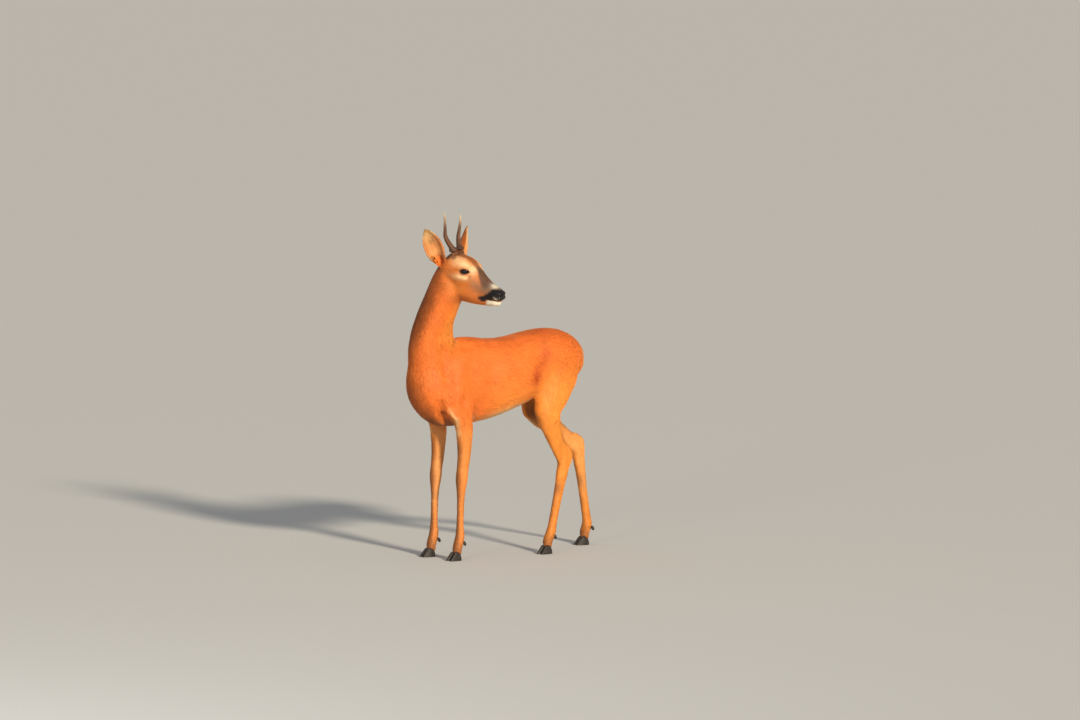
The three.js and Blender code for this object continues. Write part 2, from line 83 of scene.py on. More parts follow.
def new_object(name, verts, faces):
    mesh = bpy.data.meshes.new(name)
    mesh.from_pydata(verts, [], faces)
    mesh.update()
    shade_smooth(mesh)
    piece = bpy.data.objects.new(name, mesh)
    bpy.context.scene.collection.objects.link(piece)
    return piece


def set_inputs(node, **inputs):
    """Sets a node's own sockets, with _ for a space in their names."""
    for name, value in inputs.items():
        node.inputs[name.replace("_", " ")].default_value = value


def new_material(name, colour, roughness):
    material = bpy.data.materials.new(name)
    material.use_nodes = True
    shader = material.node_tree.nodes["Principled BSDF"]
    set_inputs(shader, Base_Color=(*colour, 1), Roughness=roughness)
    return material, material.node_tree, shader


FLOOR_REACH = 150.0
floor = new_object(
    "floor",
    [(x * FLOOR_REACH, y * FLOOR_REACH, 0) for x, y in ((-1, -1), (1, -1), (1, 1), (-1, 1))],
    [(0, 1, 2, 3)],
)
floor.data.materials.append(new_material("floor_paint", (0.66, 0.65, 0.62), 0.9)[0])


def way_from(turn, rise):
    a = math.radians(turn)
    e = math.radians(rise)
    return Vector((math.sin(a) * math.cos(e), -math.cos(a) * math.cos(e), math.sin(e)))


def add_light(name, kind, turn, rise, power, tint, spread):
    """A lamp that shines from this turn and rise in degrees. Its spread is an angle for the sun
    and a width in metres for a panel."""
    data = bpy.data.lights.new(name, kind)
    data.energy = power
    data.color = tint
    if kind == "SUN":
        data.angle = math.radians(spread)
    else:
        data.size = spread
    lamp = bpy.data.objects.new(name, data)
    lamp.location = LAMP_AIM + way_from(turn, rise) * LAMP_REACH
    lamp.rotation_euler = way_from(turn, rise).to_track_quat("Z", "Y").to_euler()
    bpy.context.scene.collection.objects.link(lamp)


add_light("key_light", "SUN", 172, 22, 3.8, (1.0, 0.89, 0.72), 6)
add_light("fill_light", "AREA", 122, 15, 36, (0.94, 0.97, 1.0), 0.9)
world = bpy.data.worlds.new("studio_air")
world.use_nodes = True
set_inputs(world.node_tree.nodes["Background"], Color=(0.93, 0.96, 1.0, 1), Strength=0.32)
bpy.context.scene.world = world
bpy.context.scene.view_settings.view_transform = "Standard"

# ------------------------------------------------------------------ the skin
# One hide covers trunk, neck, head, ears, tail and legs without a seam. It is the flesh of the
# model, rounded, and lies under its outline by the depth of the coat there. The head's folds, the
# lids and the nose are worked into it afterwards, where it is finer.
FLESH = ("trunk", "neck", "head", "tail", "ear_left", "ear_right", "foreleg_left", "foreleg_right",
         "hindleg_left", "hindleg_right")
WELD = 1e-5  # loose corners nearer than this are one
SKIN_VOXEL = 0.002
SKIN_TRIANGLES = 120000
SKIN_ROUNDS = 110  # of softening
COAT_DEPTH = 0.0028
LESS_ON_LEGS = 0.0013
LESS_ON_HEAD = 0.0020
COAT_DEPTH_ON_EARS = 0.0003
HEAD_MIDDLE = (0.2146, 0.0625, 0.864)  # between the eyes
HEAD_TURN = math.radians(113)
HEAD_LOWER = math.radians(12)
HEAD_TILT = math.radians(5)
head_axes = np.array(
    Matrix.Rotation(HEAD_TURN, 3, "Z")
    @ Matrix.Rotation(HEAD_LOWER, 3, "Y")
    @ Matrix.Rotation(HEAD_TILT, 3, "X")
)


def in_head(points):
    """Places in the head's own frame: forward, left and up, in millimetres from between the eyes."""
    return (points - HEAD_MIDDLE) @ head_axes * 1000


def out_of_head(places):
    return places / 1000 @ head_axes.T + HEAD_MIDDLE


def step(values, low, high):
    """0 below low, 1 above high, and a smooth rise between."""
    share = np.clip((values - low) / (high - low), 0, 1)
    return share * share * (3 - 2 * share)


def below(values, low, high):
    """1 below low, 0 above high."""
    return step(-values, -high, -low)


def bump(values, middle, width):
    """1 at the middle, and falling off smoothly over the width."""
    return np.exp(-((values - middle) / width) ** 2)


def blob(places, middle, sizes):
    """A soft patch that is 1 at its middle, with a size along each axis."""
    return np.exp(-(((places - np.array(middle)) / np.array(sizes)) ** 2).sum(1))


EAR_LENGTH = 140
EARS = {  # root, where it points, the way its cup opens, the bow of its middle, the curl of its tip
    "right": ((-84, -38, -5), (-40, -58, 112), (0.55, -0.8, 0.2), 0, 7),
    "left": ((-73, 42, -4), (-46, 92, 88), (0.97, 0.2, -0.1), 11, 0),
}
EAR_WIDTHS = ((0, 0.12, 0.25, 0.42, 0.58, 0.74, 0.88, 1), (15, 19, 24, 29, 28, 22, 13, 3))


def along_ear(places, side):
    """How far out along an ear a place is, from 0 at the root to 1 at the tip, the middle of the
    cup there, and the way the cup opens."""
    root, way, opens, bow, curl = (np.array(part, dtype=float) for part in EARS[side])
    way = way / np.linalg.norm(way)
    opens = opens - (opens @ way) * way
    opens = opens / np.linalg.norm(opens)
    reach = (places - root) @ way / EAR_LENGTH
    near = np.clip(reach, 0, 1)
    forwards = bow * np.sin(math.pi * near) + curl * near ** 3
    return reach, root + (near * EAR_LENGTH)[:, None] * way + forwards[:, None] * opens, opens


def ear_share(places):
    """1 on the ears, 0 elsewhere."""
    total = np.zeros(len(places))
    for side in EARS:
        reach, middle, _ = along_ear(places, side)
        past = np.linalg.norm(places - middle, axis=1) - np.interp(reach, *EAR_WIDTHS)
        total = np.maximum(total, step(reach, 0.12, 0.3) * below(past, 3, 8))
    return total


def head_share(places):
    """1 on the head, 0 from a little way down the neck."""
    behind = step(places[:, 0] * 0.85 + places[:, 2] * 0.5, -92, -60)
    near = below(np.linalg.norm(places * (0.62, 1, 1), axis=1), 110, 150)
    return behind * near


def read_rows(items, name, width, kind=float):
    """A row of values for each of a mesh's corners, edges or faces."""
    values = np.empty(len(items) * width, dtype=kind)
    items.foreach_get(name, values)
    return values.reshape(-1, width)


def points_of(mesh):
    return read_rows(mesh.vertices, "co", 3)


def normals_of(mesh):
    return read_rows(mesh.vertex_normals, "vector", 3)


def edges_of(mesh):
    return read_rows(mesh.edges, "vertices", 2, np.int64)


def put_points(mesh, points):
    mesh.vertices.foreach_set("co", points.ravel())
    mesh.update()


def joined_nodes(names):
    """The corners and triangles of these nodes, together but not yet merged."""
    verts, faces = [], []
    for name in names:
        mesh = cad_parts[name].data
        triangles = read_rows(mesh.polygons, "vertices", 3, np.int64)
        faces.append(triangles + sum(len(v) for v in verts))
        verts.append(points_of(mesh))
    return np.concatenate(verts), np.concatenate(faces)


def evaluated_copy(piece, name):
    graph = bpy.context.evaluated_depsgraph_get()
    mesh = bpy.data.meshes.new_from_object(piece.evaluated_get(graph))
    mesh.name = name
    return mesh


hide = new_object("hide", *[a.tolist() for a in joined_nodes(FLESH + ("eye_left", "eye_right"))])
merge = bmesh.new()
merge.from_mesh(hide.data)
bmesh.ops.remove_doubles(merge, verts=merge.verts, dist=WELD)
merge.to_mesh(hide.data)
merge.free()
remesh = hide.modifiers.new("remesh", "REMESH")
remesh.mode = "VOXEL"
remesh.voxel_size = SKIN_VOXEL
hide.data = evaluated_copy(hide, "hide")
hide.modifiers.clear()


def softened(points, edges, share, rounds):
    """Averages each point with its neighbours, and gives back what that shrinks: facets go and
    girths stay."""
    a, b = edges.T
    counts = np.maximum(np.bincount(edges.ravel(), minlength=len(points)), 1)

    def averaged(values):
        for _ in range(rounds):
            mean = np.stack([
                np.bincount(a, values[b, k], len(values)) + np.bincount(b, values[a, k], len(values))
                for k in range(3)
            ], 1) / counts[:, None]
            values = values + share[:, None] * (mean - values)
        return values

    smooth = averaged(points)
    return smooth + averaged(points - smooth)


hide_points = points_of(hide.data)
hide_places = in_head(hide_points)
on_head = head_share(hide_places)
on_ears = ear_share(hide_places)
on_legs = below(hide_points[:, 2], 0.36, 0.44)
softness = 0.6 * (1 - 0.72 * on_legs) * (1 - 0.86 * on_head) * (1 - 0.95 * on_ears)
hide_points = softened(hide_points, edges_of(hide.data), softness, SKIN_ROUNDS)
put_points(hide.data, hide_points)
coat_depth = COAT_DEPTH - LESS_ON_LEGS * on_legs - LESS_ON_HEAD * on_head
coat_depth = np.where(on_ears > 0.5, COAT_DEPTH_ON_EARS, coat_depth)
put_points(hide.data, hide_points - normals_of(hide.data) * coat_depth[:, None])

# Muscles part in soft furrows: before and behind the shoulder blade, at the top of the forelegs,
# in the flank, down the thigh and before the heel's cord.
FURROWS = (  # from, to, half width and depth, in metres from STAND, as on the left side
    ((0.270, 0.064, 0.630), (0.258, 0.088, 0.470), 0.016, 0.0085),
    ((0.110, 0.105, 0.630), (0.130, 0.110, 0.460), 0.026, 0.0060),
    ((0.284, 0.067, 0.475), (0.264, 0.052, 0.430), 0.012, 0.0075),
    ((0.264, 0.052, 0.430), (0.222, 0.028, 0.395), 0.012, 0.0095),
    ((0.200, 0.105, 0.520), (0.235, 0.075, 0.440), 0.012, 0.0045),
    ((0.160, 0.100, 0.450), (0.170, 0.060, 0.400), 0.014, 0.0040),
    ((-0.060, 0.115, 0.600), (-0.075, 0.115, 0.520), 0.034, 0.0080),
    ((-0.075, 0.100, 0.500), (-0.110, 0.095, 0.430), 0.016, 0.0030),
    ((-0.175, 0.110, 0.620), (-0.205, 0.095, 0.450), 0.015, 0.0045),
)
HEEL_FURROWS = (
    ((-0.155, 0.095, 0.350), (-0.150, 0.090, 0.285), 0.008, 0.0050),
    ((-0.275, -0.095, 0.345), (-0.298, -0.085, 0.305), 0.008, 0.0050),
)


def near_line(places, start, end, width):
    """A soft streak that is 1 on the line between two places."""
    start, way = np.array(start), np.array(end) - np.array(start)
    share = np.clip((places - start) @ way / (way @ way), 0, 1)
    off = np.linalg.norm(places - start - share[:, None] * way, axis=1)
    return np.exp(-(off / width) ** 2)


body = points_of(hide.data) - np.array(STAND)
mirrored = body * (1, 0, 1) + np.abs(body) * (0, 1, 0)
furrow = sum(near_line(mirrored, a, b, width) * depth for a, b, width, depth in FURROWS)
furrow += sum(near_line(body, a, b, width) * depth for a, b, width, depth in HEEL_FURROWS)
furrow *= 1 - on_head
put_points(hide.data, points_of(hide.data) - normals_of(hide.data) * furrow[:, None])

# The hide is thinned to plain triangles, five times as much off the head as on it.
THIN_LEVELS = 5
far_from_face = hide.vertex_groups.new(name="coarse")
for level in range(1, THIN_LEVELS + 1):
    coarse = np.round((1 - 0.8 * np.maximum(on_head, on_ears)) * THIN_LEVELS)
    chosen = np.nonzero(coarse == level)[0]
    if len(chosen):
        far_from_face.add(chosen.tolist(), level / THIN_LEVELS, "REPLACE")
thin = hide.modifiers.new("thin", "DECIMATE")
thin.ratio = SKIN_TRIANGLES / (2 * len(hide.data.polygons))
thin.vertex_group = far_from_face.name
hide.data = evaluated_copy(hide, "hide")
hide.modifiers.clear()

# The face is made finer, most of all round the eyes, the nose and the mouth.
EYE_RADIUS = 14.2
EYE_CENTRES = {"left": (-8, 32.6, 0), "right": (-8, -32.6, 0)}
EYE_AXES = {side: np.array((0.35, 0.93 * way, 0.08)) for side, way in (("left", 1), ("right", -1))}
LID_SLANT = math.radians(-5)
LID_HALF_LENGTH = 15.6  # along the globe
UPPER_LID = 7.4
LOWER_LID = 5.8


def eye_axes(side):
    """The ways along an eye's opening, up it and out of it."""
    out = EYE_AXES[side] / np.linalg.norm(EYE_AXES[side])
    upright = np.array((0, 0, 1.0)) - out[2] * out
    upright /= np.linalg.norm(upright)
    forward = np.cross(upright, out) * (1 if side == "right" else -1)
    along = math.cos(LID_SLANT) * forward - math.sin(LID_SLANT) * upright
    up = math.sin(LID_SLANT) * forward + math.cos(LID_SLANT) * upright
    return along, up, out


def round_eye(places, side):
    """Places seen from an eye: how far along and up its globe, and the way out of its middle."""
    along, up, out = eye_axes(side)
    off = places - np.array(EYE_CENTRES[side])
    far = np.linalg.norm(off, axis=1)
    way = off / far[:, None]
    angle = np.arccos(np.clip(way @ out, -1, 1))
    flat = np.maximum(np.hypot(way @ along, way @ up), 1e-6)
    scale = EYE_RADIUS * angle / flat
    return (way @ along) * scale, (way @ up) * scale, way, far


def way_from_eye(across, rise, side):
    """The way out of an eye's middle to a place on its globe."""
    along, up, out = eye_axes(side)
    flat = np.maximum(np.hypot(across, rise), 1e-6)
    angle = flat / EYE_RADIUS
    sideways = (across / flat)[:, None] * along + (rise / flat)[:, None] * up
    return np.cos(angle)[:, None] * out + np.sin(angle)[:, None] * sideways


def past_lid_edge(along, up):
    """How far outside the opening between the lids, in millimetres along the globe."""
    half = np.where(up > 0, UPPER_LID, LOWER_LID)
    reach = (np.abs(along) / LID_HALF_LENGTH) ** 1.75 + (np.abs(up) / half) ** 1.55
    ratio = np.maximum(reach, 1e-6) ** (1 / 1.65)
    return (ratio - 1) * np.hypot(along, up) / ratio


def mouth_height(x):
    """The height of the line between the lips, at this way forward on the head."""
    return np.interp(x, (45, 75, 104, 114), (-71.6, -68.2, -65.0, -64.0))


def wanted_edge(places):
    """How long the edges of the hide may be at each place on the head, in millimetres."""
    x, _, z = places.T
    length = np.full(len(places), 9.0)
    length = np.where((x > -75) & (head_share(places) > 0.5), 2.6, length)
    length = np.where((x > 38) & (np.abs(z - mouth_height(x)) < 12), 1.6, length)
    length = np.where((x > 88) & (z > -80), 1.1, length)
    for centre in EYE_CENTRES.values():
        off = np.linalg.norm(places - centre, axis=1)
        length = np.where(off < 32, 1.5, length)
        length = np.where(off < 24, 0.85, length)
    for side in EYE_CENTRES:
        along, up, _, far = round_eye(places, side)
        length = np.where((np.abs(past_lid_edge(along, up)) < 2.4) & (far < 24), 0.55, length)
    return length


face = bmesh.new()
face.from_mesh(hide.data)
for _ in range(5):
    face.verts.ensure_lookup_table()
    places = in_head(np.array([v.co[:] for v in face.verts]))
    wanted = wanted_edge(places)
    ends = np.array([[v.index for v in e.verts] for e in face.edges])
    lengths = np.linalg.norm(places[ends[:, 0]] - places[ends[:, 1]], axis=1)
    long_ones = np.nonzero(lengths > 1.35 * np.maximum(*wanted[ends].T))[0]
    face.edges.ensure_lookup_table()
    bmesh.ops.subdivide_edges(face, edges=[face.edges[i] for i in long_ones], cuts=1)
    bmesh.ops.triangulate(face, faces=[f for f in face.faces if len(f.verts) > 3])
    face.verts.index_update()
face.to_mesh(hide.data)
face.free()

hide_points = points_of(hide.data)
places = in_head(hide_points)
x, y, z = places.T
share = head_share(places)
cheek = share * step(x, -90, -60) * below(x, 50, 75) * below(z, -40, -22)
between = share * (1 - ear_share(places)) * (0.25 + 0.75 * cheek)
hide_points = softened(hide_points, edges_of(hide.data), 0.6 * between, 40)
put_points(hide.data, hide_points)

# The lids close over each globe as two soft rims, with a fold above the upper one.
places = in_head(points_of(hide.data))
for side in EYE_CENTRES:
    along, up, way, far = round_eye(places, side)
    past = past_lid_edge(along, up)
    near = (far < 34) & (np.hypot(along, up) < 34)
    # Corners close to the lids' edge move onto it, so that the edge is one clean line.
    on_edge = near & (np.abs(past) < 0.4)
    grow = np.where(on_edge, 1 - past / np.maximum(np.hypot(along, up), 1), 1)
    way = way_from_eye(along * grow, up * grow, side)
    past = np.where(on_edge, 0, past)
    lid = EYE_RADIUS + 1.2 + 0.4 * bump(past, 1.4, 1.1)
    lid = lid - 0.6 * bump(past, 5.0, 0.9) * step(up, 0, 3)
    lid = lid + 1.1 * bump(past, 8.0, 2.6) * step(up, 1, 6)
    lid = lid - 0.4 * bump(past, 4.4, 0.9) * below(up, -3, 0)
    inside = EYE_RADIUS - 3.0 + 3.6 * step(past, -1.3, 0)
    target = np.where(past <= 0, inside, lid - 0.6 * (1 - step(past, 0, 0.9)))
    weight = np.where(near, 1 - step(past, 2.5, 10), 0)
    far_new = far + weight * (target - far)
    far_new = np.where(past > 0, np.maximum(far_new, EYE_RADIUS + 0.8), far_new)
    places = np.where(near[:, None], np.array(EYE_CENTRES[side]) + way * far_new[:, None], places)
put_points(hide.data, out_of_head(places))

# The forms of the face, as hills and hollows of the hide.
FACE_FORMS = (  # height, middle and reach of each, in millimetres, as on the left side
    (1.6, (10, 42, -20), (26, 12, 6)),  # cheekbone
    (1.8, (-44, 44, -58), (22, 14, 20)),  # jaw muscle
    (-2.2, (-38, 39, 18), (15, 14, 9)),  # temple
    (-1.6, (18, 35, -15), (10, 10, 2.6)),  # groove before the eye
    (1.3, (103, 16, -55), (12, 8, 9)),  # side of the muzzle
    (1.5, (108, 12.5, -43), (5, 6, 4)),  # wing of the nostril
)
NOSTRIL_DEPTH = 4.2
NOSTRIL = ((111, 11.5, -50), (4.5, 4.2, 2.6))
NOSTRIL_SLIT = ((105, 16.5, -52.5), (4, 4, 1.8))
places = in_head(points_of(hide.data))
x, y, z = places.T
sideways = np.abs(y)
mirrored = np.stack([x, sideways, z], 1)
from_mouth = z - mouth_height(x)
lift = 1.3 * bump(from_mouth, 7.5, 5) * step(x, 62, 92)
lift += 1.0 * bump(from_mouth, -8, 5) * step(x, 72, 95)
lift -= 1.0 * bump(from_mouth, 0, 1.6) * step(x, 42, 52)
for height, middle, reach in FACE_FORMS:
    lift += height * blob(mirrored, middle, reach)
lift -= NOSTRIL_DEPTH * (blob(mirrored, *NOSTRIL) + 0.6 * blob(mirrored, *NOSTRIL_SLIT))
lift -= 1.1 * bump(sideways, 0, 1.3) * step(x, 104, 112) * below(z, -52, -46)
lift *= head_share(places)
put_points(hide.data, points_of(hide.data) + normals_of(hide.data) * lift[:, None] / 1000)

# The markings, with the light and shade painted into them, belong to the hide and to every tuft that
# grows from it.


def paint(red, green, blue):
    """A colour off a chart, from 0 to 255, as light."""
    return (np.array((red, green, blue)) / 255) ** 2.2


RED_COAT = paint(228, 114, 46)
BACK_COAT = paint(204, 94, 38)
LOW_AND_LIT_COAT = paint(238, 143, 58)
PALE_COAT = paint(244, 200, 136)
LEG_COAT = paint(230, 138, 66)
BROWN_COAT_AND_SHADE = paint(130, 82, 52)
DARK_COAT_AND_SHADE = paint(92, 50, 26)
NAPE_AND_SHADE_COAT = paint(144, 76, 36)
SPOT_RED = paint(160, 50, 16)
CHEEK_COAT = paint(212, 116, 52)
BUFF_COAT = paint(250, 200, 146)
DARK_FACE = paint(84, 66, 56)
GREY_FACE = paint(156, 118, 90)
WHITE_FACE = paint(240, 226, 200)
NOSE_BLACK = paint(26, 23, 25)
CROWN_BROWN = paint(112, 72, 46)
EAR_CREAM = paint(230, 180, 120)


def nose_share(places):
    """1 on the bare wet nose, 0 elsewhere."""
    x, y, z = places.T
    low = step(z, -60, -57)
    rear = 102.5 + 0.25 * np.abs(z + 47) + 0.02 * y * y - 4 * step(z, -44, -38)
    return low * step(x - rear, -1.2, 1.2) * step(x, 90, 95)


def layered(colour, layers):
    """Colours laid one over another, each by its share at every place."""
    for over, share in layers:
        colour = colour + np.clip(share, 0, 1)[:, None] * (over - colour)
    return colour


def body_colour(points, normals):
    """The markings of all but the head, with painted light and shade on the neck, breast, forelegs and
    between the legs, by places in metres from STAND.
    """
    places = points - np.array(STAND)
    x, y, z = places.T
    sides = np.stack([x, np.abs(y), z], 1)
    facing = normals[:, 0]
    leftward = normals[:, 1]
    inward = -np.sign(y) * leftward
    under = below(normals[:, 2], -0.9, -0.45)
    trunk = below(x, 0.08, 0.20) * step(z, 0.40, 0.44)
    fore = step(x, 0.12, 0.16)
    neck = step(z, 0.58, 0.70) * fore
    breast = step(x, 0.24, 0.32) * below(z, 0.50, 0.60)
    return layered(np.tile(RED_COAT, (len(points), 1)), (
        # The back is deeper, and flanks, thighs and legs are paler.
        (BACK_COAT, 0.65 * trunk * step(z + 0.06 * x, 0.60, 0.67)),
        (LOW_AND_LIT_COAT, 0.75 * below(z, 0.44, 0.56) * below(x, 0.04, 0.16)),
        (LEG_COAT, below(z, 0.36, 0.46)),
        (LOW_AND_LIT_COAT, 0.9 * below(z, 0.46, 0.62) * below(x, -0.12, -0.02)),
        # Painted light and shade on the neck and breast: darker on their fronts and on the side turned
        # from the key light, lighter on the neck's side turned to it.
        (NAPE_AND_SHADE_COAT, 0.9 * neck * step(facing - 0.6 * leftward, 0.1, 0.85)),
        (LOW_AND_LIT_COAT, 0.85 * neck * step(0.6 * leftward - 0.8 * facing, 0.35, 0.9)),
        (NAPE_AND_SHADE_COAT, 0.6 * step(facing - 0.4 * leftward, 0.2, 0.9) * breast),
        # The belly, the inner sides and the rump's patch are pale. Painted shade darkens the chest's
        # underside between the forelegs and the tops of the inner thighs between the hind legs.
        (BROWN_COAT_AND_SHADE, 0.8 * under * step(x, 0.17, 0.22) * below(z, 0.40, 0.45) * step(z, 0.36, 0.38)),
        (PALE_COAT, 0.75 * under * below(x, 0.06, 0.15) * below(z, 0.43, 0.47) * step(z, 0.36, 0.39)),
        (PALE_COAT, 0.22 * step(inward, 0.35, 0.8) * below(z, 0.40, 0.47) * step(z, 0.10, 0.2)),
        (DARK_COAT_AND_SHADE, 0.8 * step(inward, 0.0, 0.6) * bump(z, 0.42, 0.05) * below(x, -0.13, -0.08)),
        (PALE_COAT, 0.8 * below(facing, -0.9, -0.5) * below(x, -0.25, -0.20) * step(z, 0.50, 0.56)),
        # The fronts of the legs are dusky, and darken towards the claws. On the forelegs the dusk
        # carries onto the side turned from the key light as painted shade.
        (BROWN_COAT_AND_SHADE, 0.6 * step(facing - 0.5 * leftward, 0.0, 0.9) * fore * below(z, 0.33, 0.385)),
        (BROWN_COAT_AND_SHADE, 0.3 * below(z, 0.16, 0.26) * (0.4 + 0.6 * step(facing, 0.2, 0.8))),
        (DARK_COAT_AND_SHADE, 0.3 * bump(z, 0.25, 0.02) * fore * step(facing, 0.1, 0.8)),
        (BROWN_COAT_AND_SHADE, 0.65 * below(z, 0.035, 0.075)),
        # Painted shade lies dark in the creases above the forelegs, with pale hair beside them painted
        # brighter as a highlight.
        (DARK_COAT_AND_SHADE, 0.75 * near_line(sides, (0.282, 0.065, 0.465), (0.262, 0.050, 0.430), 0.008)),
        (DARK_COAT_AND_SHADE, 0.75 * near_line(sides, (0.262, 0.050, 0.430), (0.222, 0.025, 0.398), 0.010)),
        (DARK_COAT_AND_SHADE, 0.5 * near_line(sides, (0.305, 0.040, 0.452), (0.285, 0.010, 0.420), 0.018)),
        (PALE_COAT, 0.8 * near_line(sides, (0.264, 0.081, 0.464), (0.244, 0.084, 0.431), 0.006)),
        (PALE_COAT, 0.8 * near_line(sides, (0.244, 0.084, 0.431), (0.222, 0.070, 0.387), 0.009)),
        # A few redder spots lie in the flank, on the hocks and over the hip.
        (SPOT_RED, 0.9 * blob(sides, (-0.042, 0.10, 0.528), (0.014, 0.09, 0.024))),
        (BROWN_COAT_AND_SHADE, 0.6 * bump(z, 0.200, 0.02) * below(x, -0.1, -0.05) * step(facing, -0.4, 0.5)),
        (SPOT_RED, 0.45 * near_line(sides, (-0.085, 0.08, 0.605), (-0.050, 0.10, 0.555), 0.016)),
        (SPOT_RED, 0.3 * blob(sides, (-0.09, 0.03, 0.67), (0.05, 0.05, 0.014))),
    ))


def head_colour(places, normals, colour):
    """The markings of the head laid over a colour, with painted shade along the jaw and a painted
    highlight behind the nose, by places in its own frame.
    """
    x, y, z = places.T
    side = np.abs(y)
    mirrored = np.stack([x, side, z], 1)
    upward = normals[:, 2]
    bridge = np.interp(x, (-30, 3, 23, 30, 36, 50, 90), (12, 11, 11, 15, 21, 24, 21))
    crown = step(26 - side, -6, 6) * step(z, 16, 26) * below(x, -47, -40) * step(x, -92, -72)
    lip = z - mouth_height(x)
    stache = np.interp(x, (46, 66, 71, 78, 85, 98), (-67, -59, -53, -46, -37, -34))
    colour = layered(colour, (
        # Cheeks, jaw and nape.
        (CHEEK_COAT, head_share(places)),
        # A band of painted shade along the lower edge of the jaw.
        (NAPE_AND_SHADE_COAT, 0.6 * blob(mirrored, (0, 36, -86), (70, 22, 13))),
        (NAPE_AND_SHADE_COAT, 0.4 * blob(mirrored, (-40, 44, -25), (20, 16, 26))),
        (LOW_AND_LIT_COAT, 0.3 * blob(mirrored, (-10, 44, -45), (30, 20, 16))),
        (NAPE_AND_SHADE_COAT, 0.6 * below(x, -80, -50) * step(z, 0, 18)),
        # Pale round the eyes, and grey down the sides of the nose.
        (BUFF_COAT, 1.3 * blob(mirrored, (15, 23, 6), (13, 15, 15))),
        (BUFF_COAT, 1.2 * blob(mirrored, (-7, 44, -17), (26, 14, 9))),
        (BUFF_COAT, 1.1 * blob(mirrored, (-16, 33, 20), (26, 14, 12))),
        (GREY_FACE * 1.25, 0.6 * blob(mirrored, (30, 30, -32), (14, 12, 18))),
        (GREY_FACE, 0.9 * blob(mirrored, (60, 23, -40), (26, 12, 18))),
        (BUFF_COAT, 0.8 * blob(mirrored, (-34, 24, 32), (24, 14, 12))),
        (BROWN_COAT_AND_SHADE, 0.7 * blob(mirrored, (13, 37, -14), (5, 10, 9))),
        # The dark bridge of the nose, the forehead and the crown.
        (DARK_FACE, 0.9 * step(bridge - side, -3, 4) * step(upward, -0.2, 0.3) * step(x, 2, 26)),
        (CROWN_BROWN, 0.6 * step(bridge - side, -4, 4) * step(z, 4, 16) * below(x, 4, 20)
         * step(x, -60, -40)),
        (CROWN_BROWN * 0.6, 0.9 * crown),
        (GREY_FACE, 0.8 * blob(mirrored, (80, 21, -42), (16, 10, 10))),
        # Pale grey hair behind the nose, painted near white as a highlight.
        (WHITE_FACE * 0.85, 1.2 * blob(mirrored, (86, 5, -29), (12, 12, 9))),
        # The black band round the mouth, the white chin and the bare nose.
        (NOSE_BLACK * 1.5, step(stache - z + 3, 0, 5) * step(lip, -2, 0) * step(x, 42, 50)),
        (NOSE_BLACK * 1.5, 0.9 * bump(lip, 0.5, 3.0) * step(x, 40, 50)),
        (NOSE_BLACK * 1.5, step(lip, -9, -6) * below(lip, -1, 1) * step(x, 48, 54) * below(x, 66, 73)),
        (WHITE_FACE, blob(mirrored, (101, 17, -60.5), (6, 8, 2.8))),
        (WHITE_FACE, below(lip, -5, -2.5) * step(x - 0.3 * lip, 72, 78)),
        (PALE_COAT, 0.5 * below(upward, -0.95, -0.6) * below(z, -75, -60) * step(x, -60, -20)),
        (NOSE_BLACK, nose_share(places)),
    ))
    for name in EYE_CENTRES:
        along, up, _, far = round_eye(places, name)
        past = past_lid_edge(along, up)
        rim = (1 - step(past, 0.7, 2.0)) * (far < 24)
        tear = blob(np.stack([along, up], 1), (LID_HALF_LENGTH + 1, -2.5), (3, 1.8)) * (far < 30)
        colour = layered(colour, ((NOSE_BLACK * 1.4, np.maximum(rim, 0.75 * tear)),))
    return colour


def ear_colour(places, normals, colour):
    """The markings of the ears laid over a colour: cream hair within and red hair behind."""
    freckles = blob(places, (-119, -60, 64), (9, 9, 11))
    freckles = freckles * step(np.sin(places @ (0.5, 0.7, 0.35)), -0.6, 0.4)
    for name in EARS:
        reach, middle, opens = along_ear(places, name)
        off = np.linalg.norm(places - middle, axis=1)
        share = step(reach, 0.14, 0.3) * step(np.interp(reach, *EAR_WIDTHS) + 8 - off, 0, 5)
        inwards = middle + 9 * opens - places
        inside = step((normals * inwards).sum(1) / np.linalg.norm(inwards, axis=1), -0.15, 0.2)
        backed = np.tile(CHEEK_COAT * 0.85, (len(places), 1))
        tone = layered(backed, (
            (EAR_CREAM, inside),
            (RED_COAT, 0.55 * inside * step(off, 14, 26)),
            (DARK_COAT_AND_SHADE, 0.7 * inside * freckles),
            (BROWN_COAT_AND_SHADE, 0.5 * step(reach, 0.84, 1.0)),
        ))
        colour = layered(colour, ((tone, share),))
    return colour


def hide_colour(points, normals):
    """The markings at any places on the hide or in the coat, with their painted light and shade."""
    places = in_head(points)
    turned = normals @ head_axes
    colour = body_colour(points, normals)
    on_face = head_share(places)[:, None]
    faced = head_colour(places, turned, colour)
    colour = colour + on_face * (faced - colour)
    return ear_colour(places, turned, colour)


def set_colours(mesh, name, colours):
    layer = mesh.color_attributes.new(name, "FLOAT_COLOR", "POINT")
    layer.data.foreach_set("color", np.column_stack([colours, np.ones(len(colours))]).ravel())


def set_values(mesh, name, values):
    layer = mesh.attributes.new(name, "FLOAT", "POINT")
    layer.data.foreach_set("value", values)


def add_node(tree, kind, **inputs):
    node = tree.nodes.new(kind)
    set_inputs(node, **inputs)
    return node


def link_all(tree, pairs):
    for start, end in pairs:
        tree.links.new(start, end)


def own_place(tree):
    """The place on the piece itself, for a pattern that stays with it."""
    return tree.nodes.new("ShaderNodeTexCoord").outputs["Object"]


def painted(tree, name):
    """The colour or value that the piece carries under this name."""
    node = tree.nodes.new("ShaderNodeAttribute")
    node.attribute_name = name
    return node


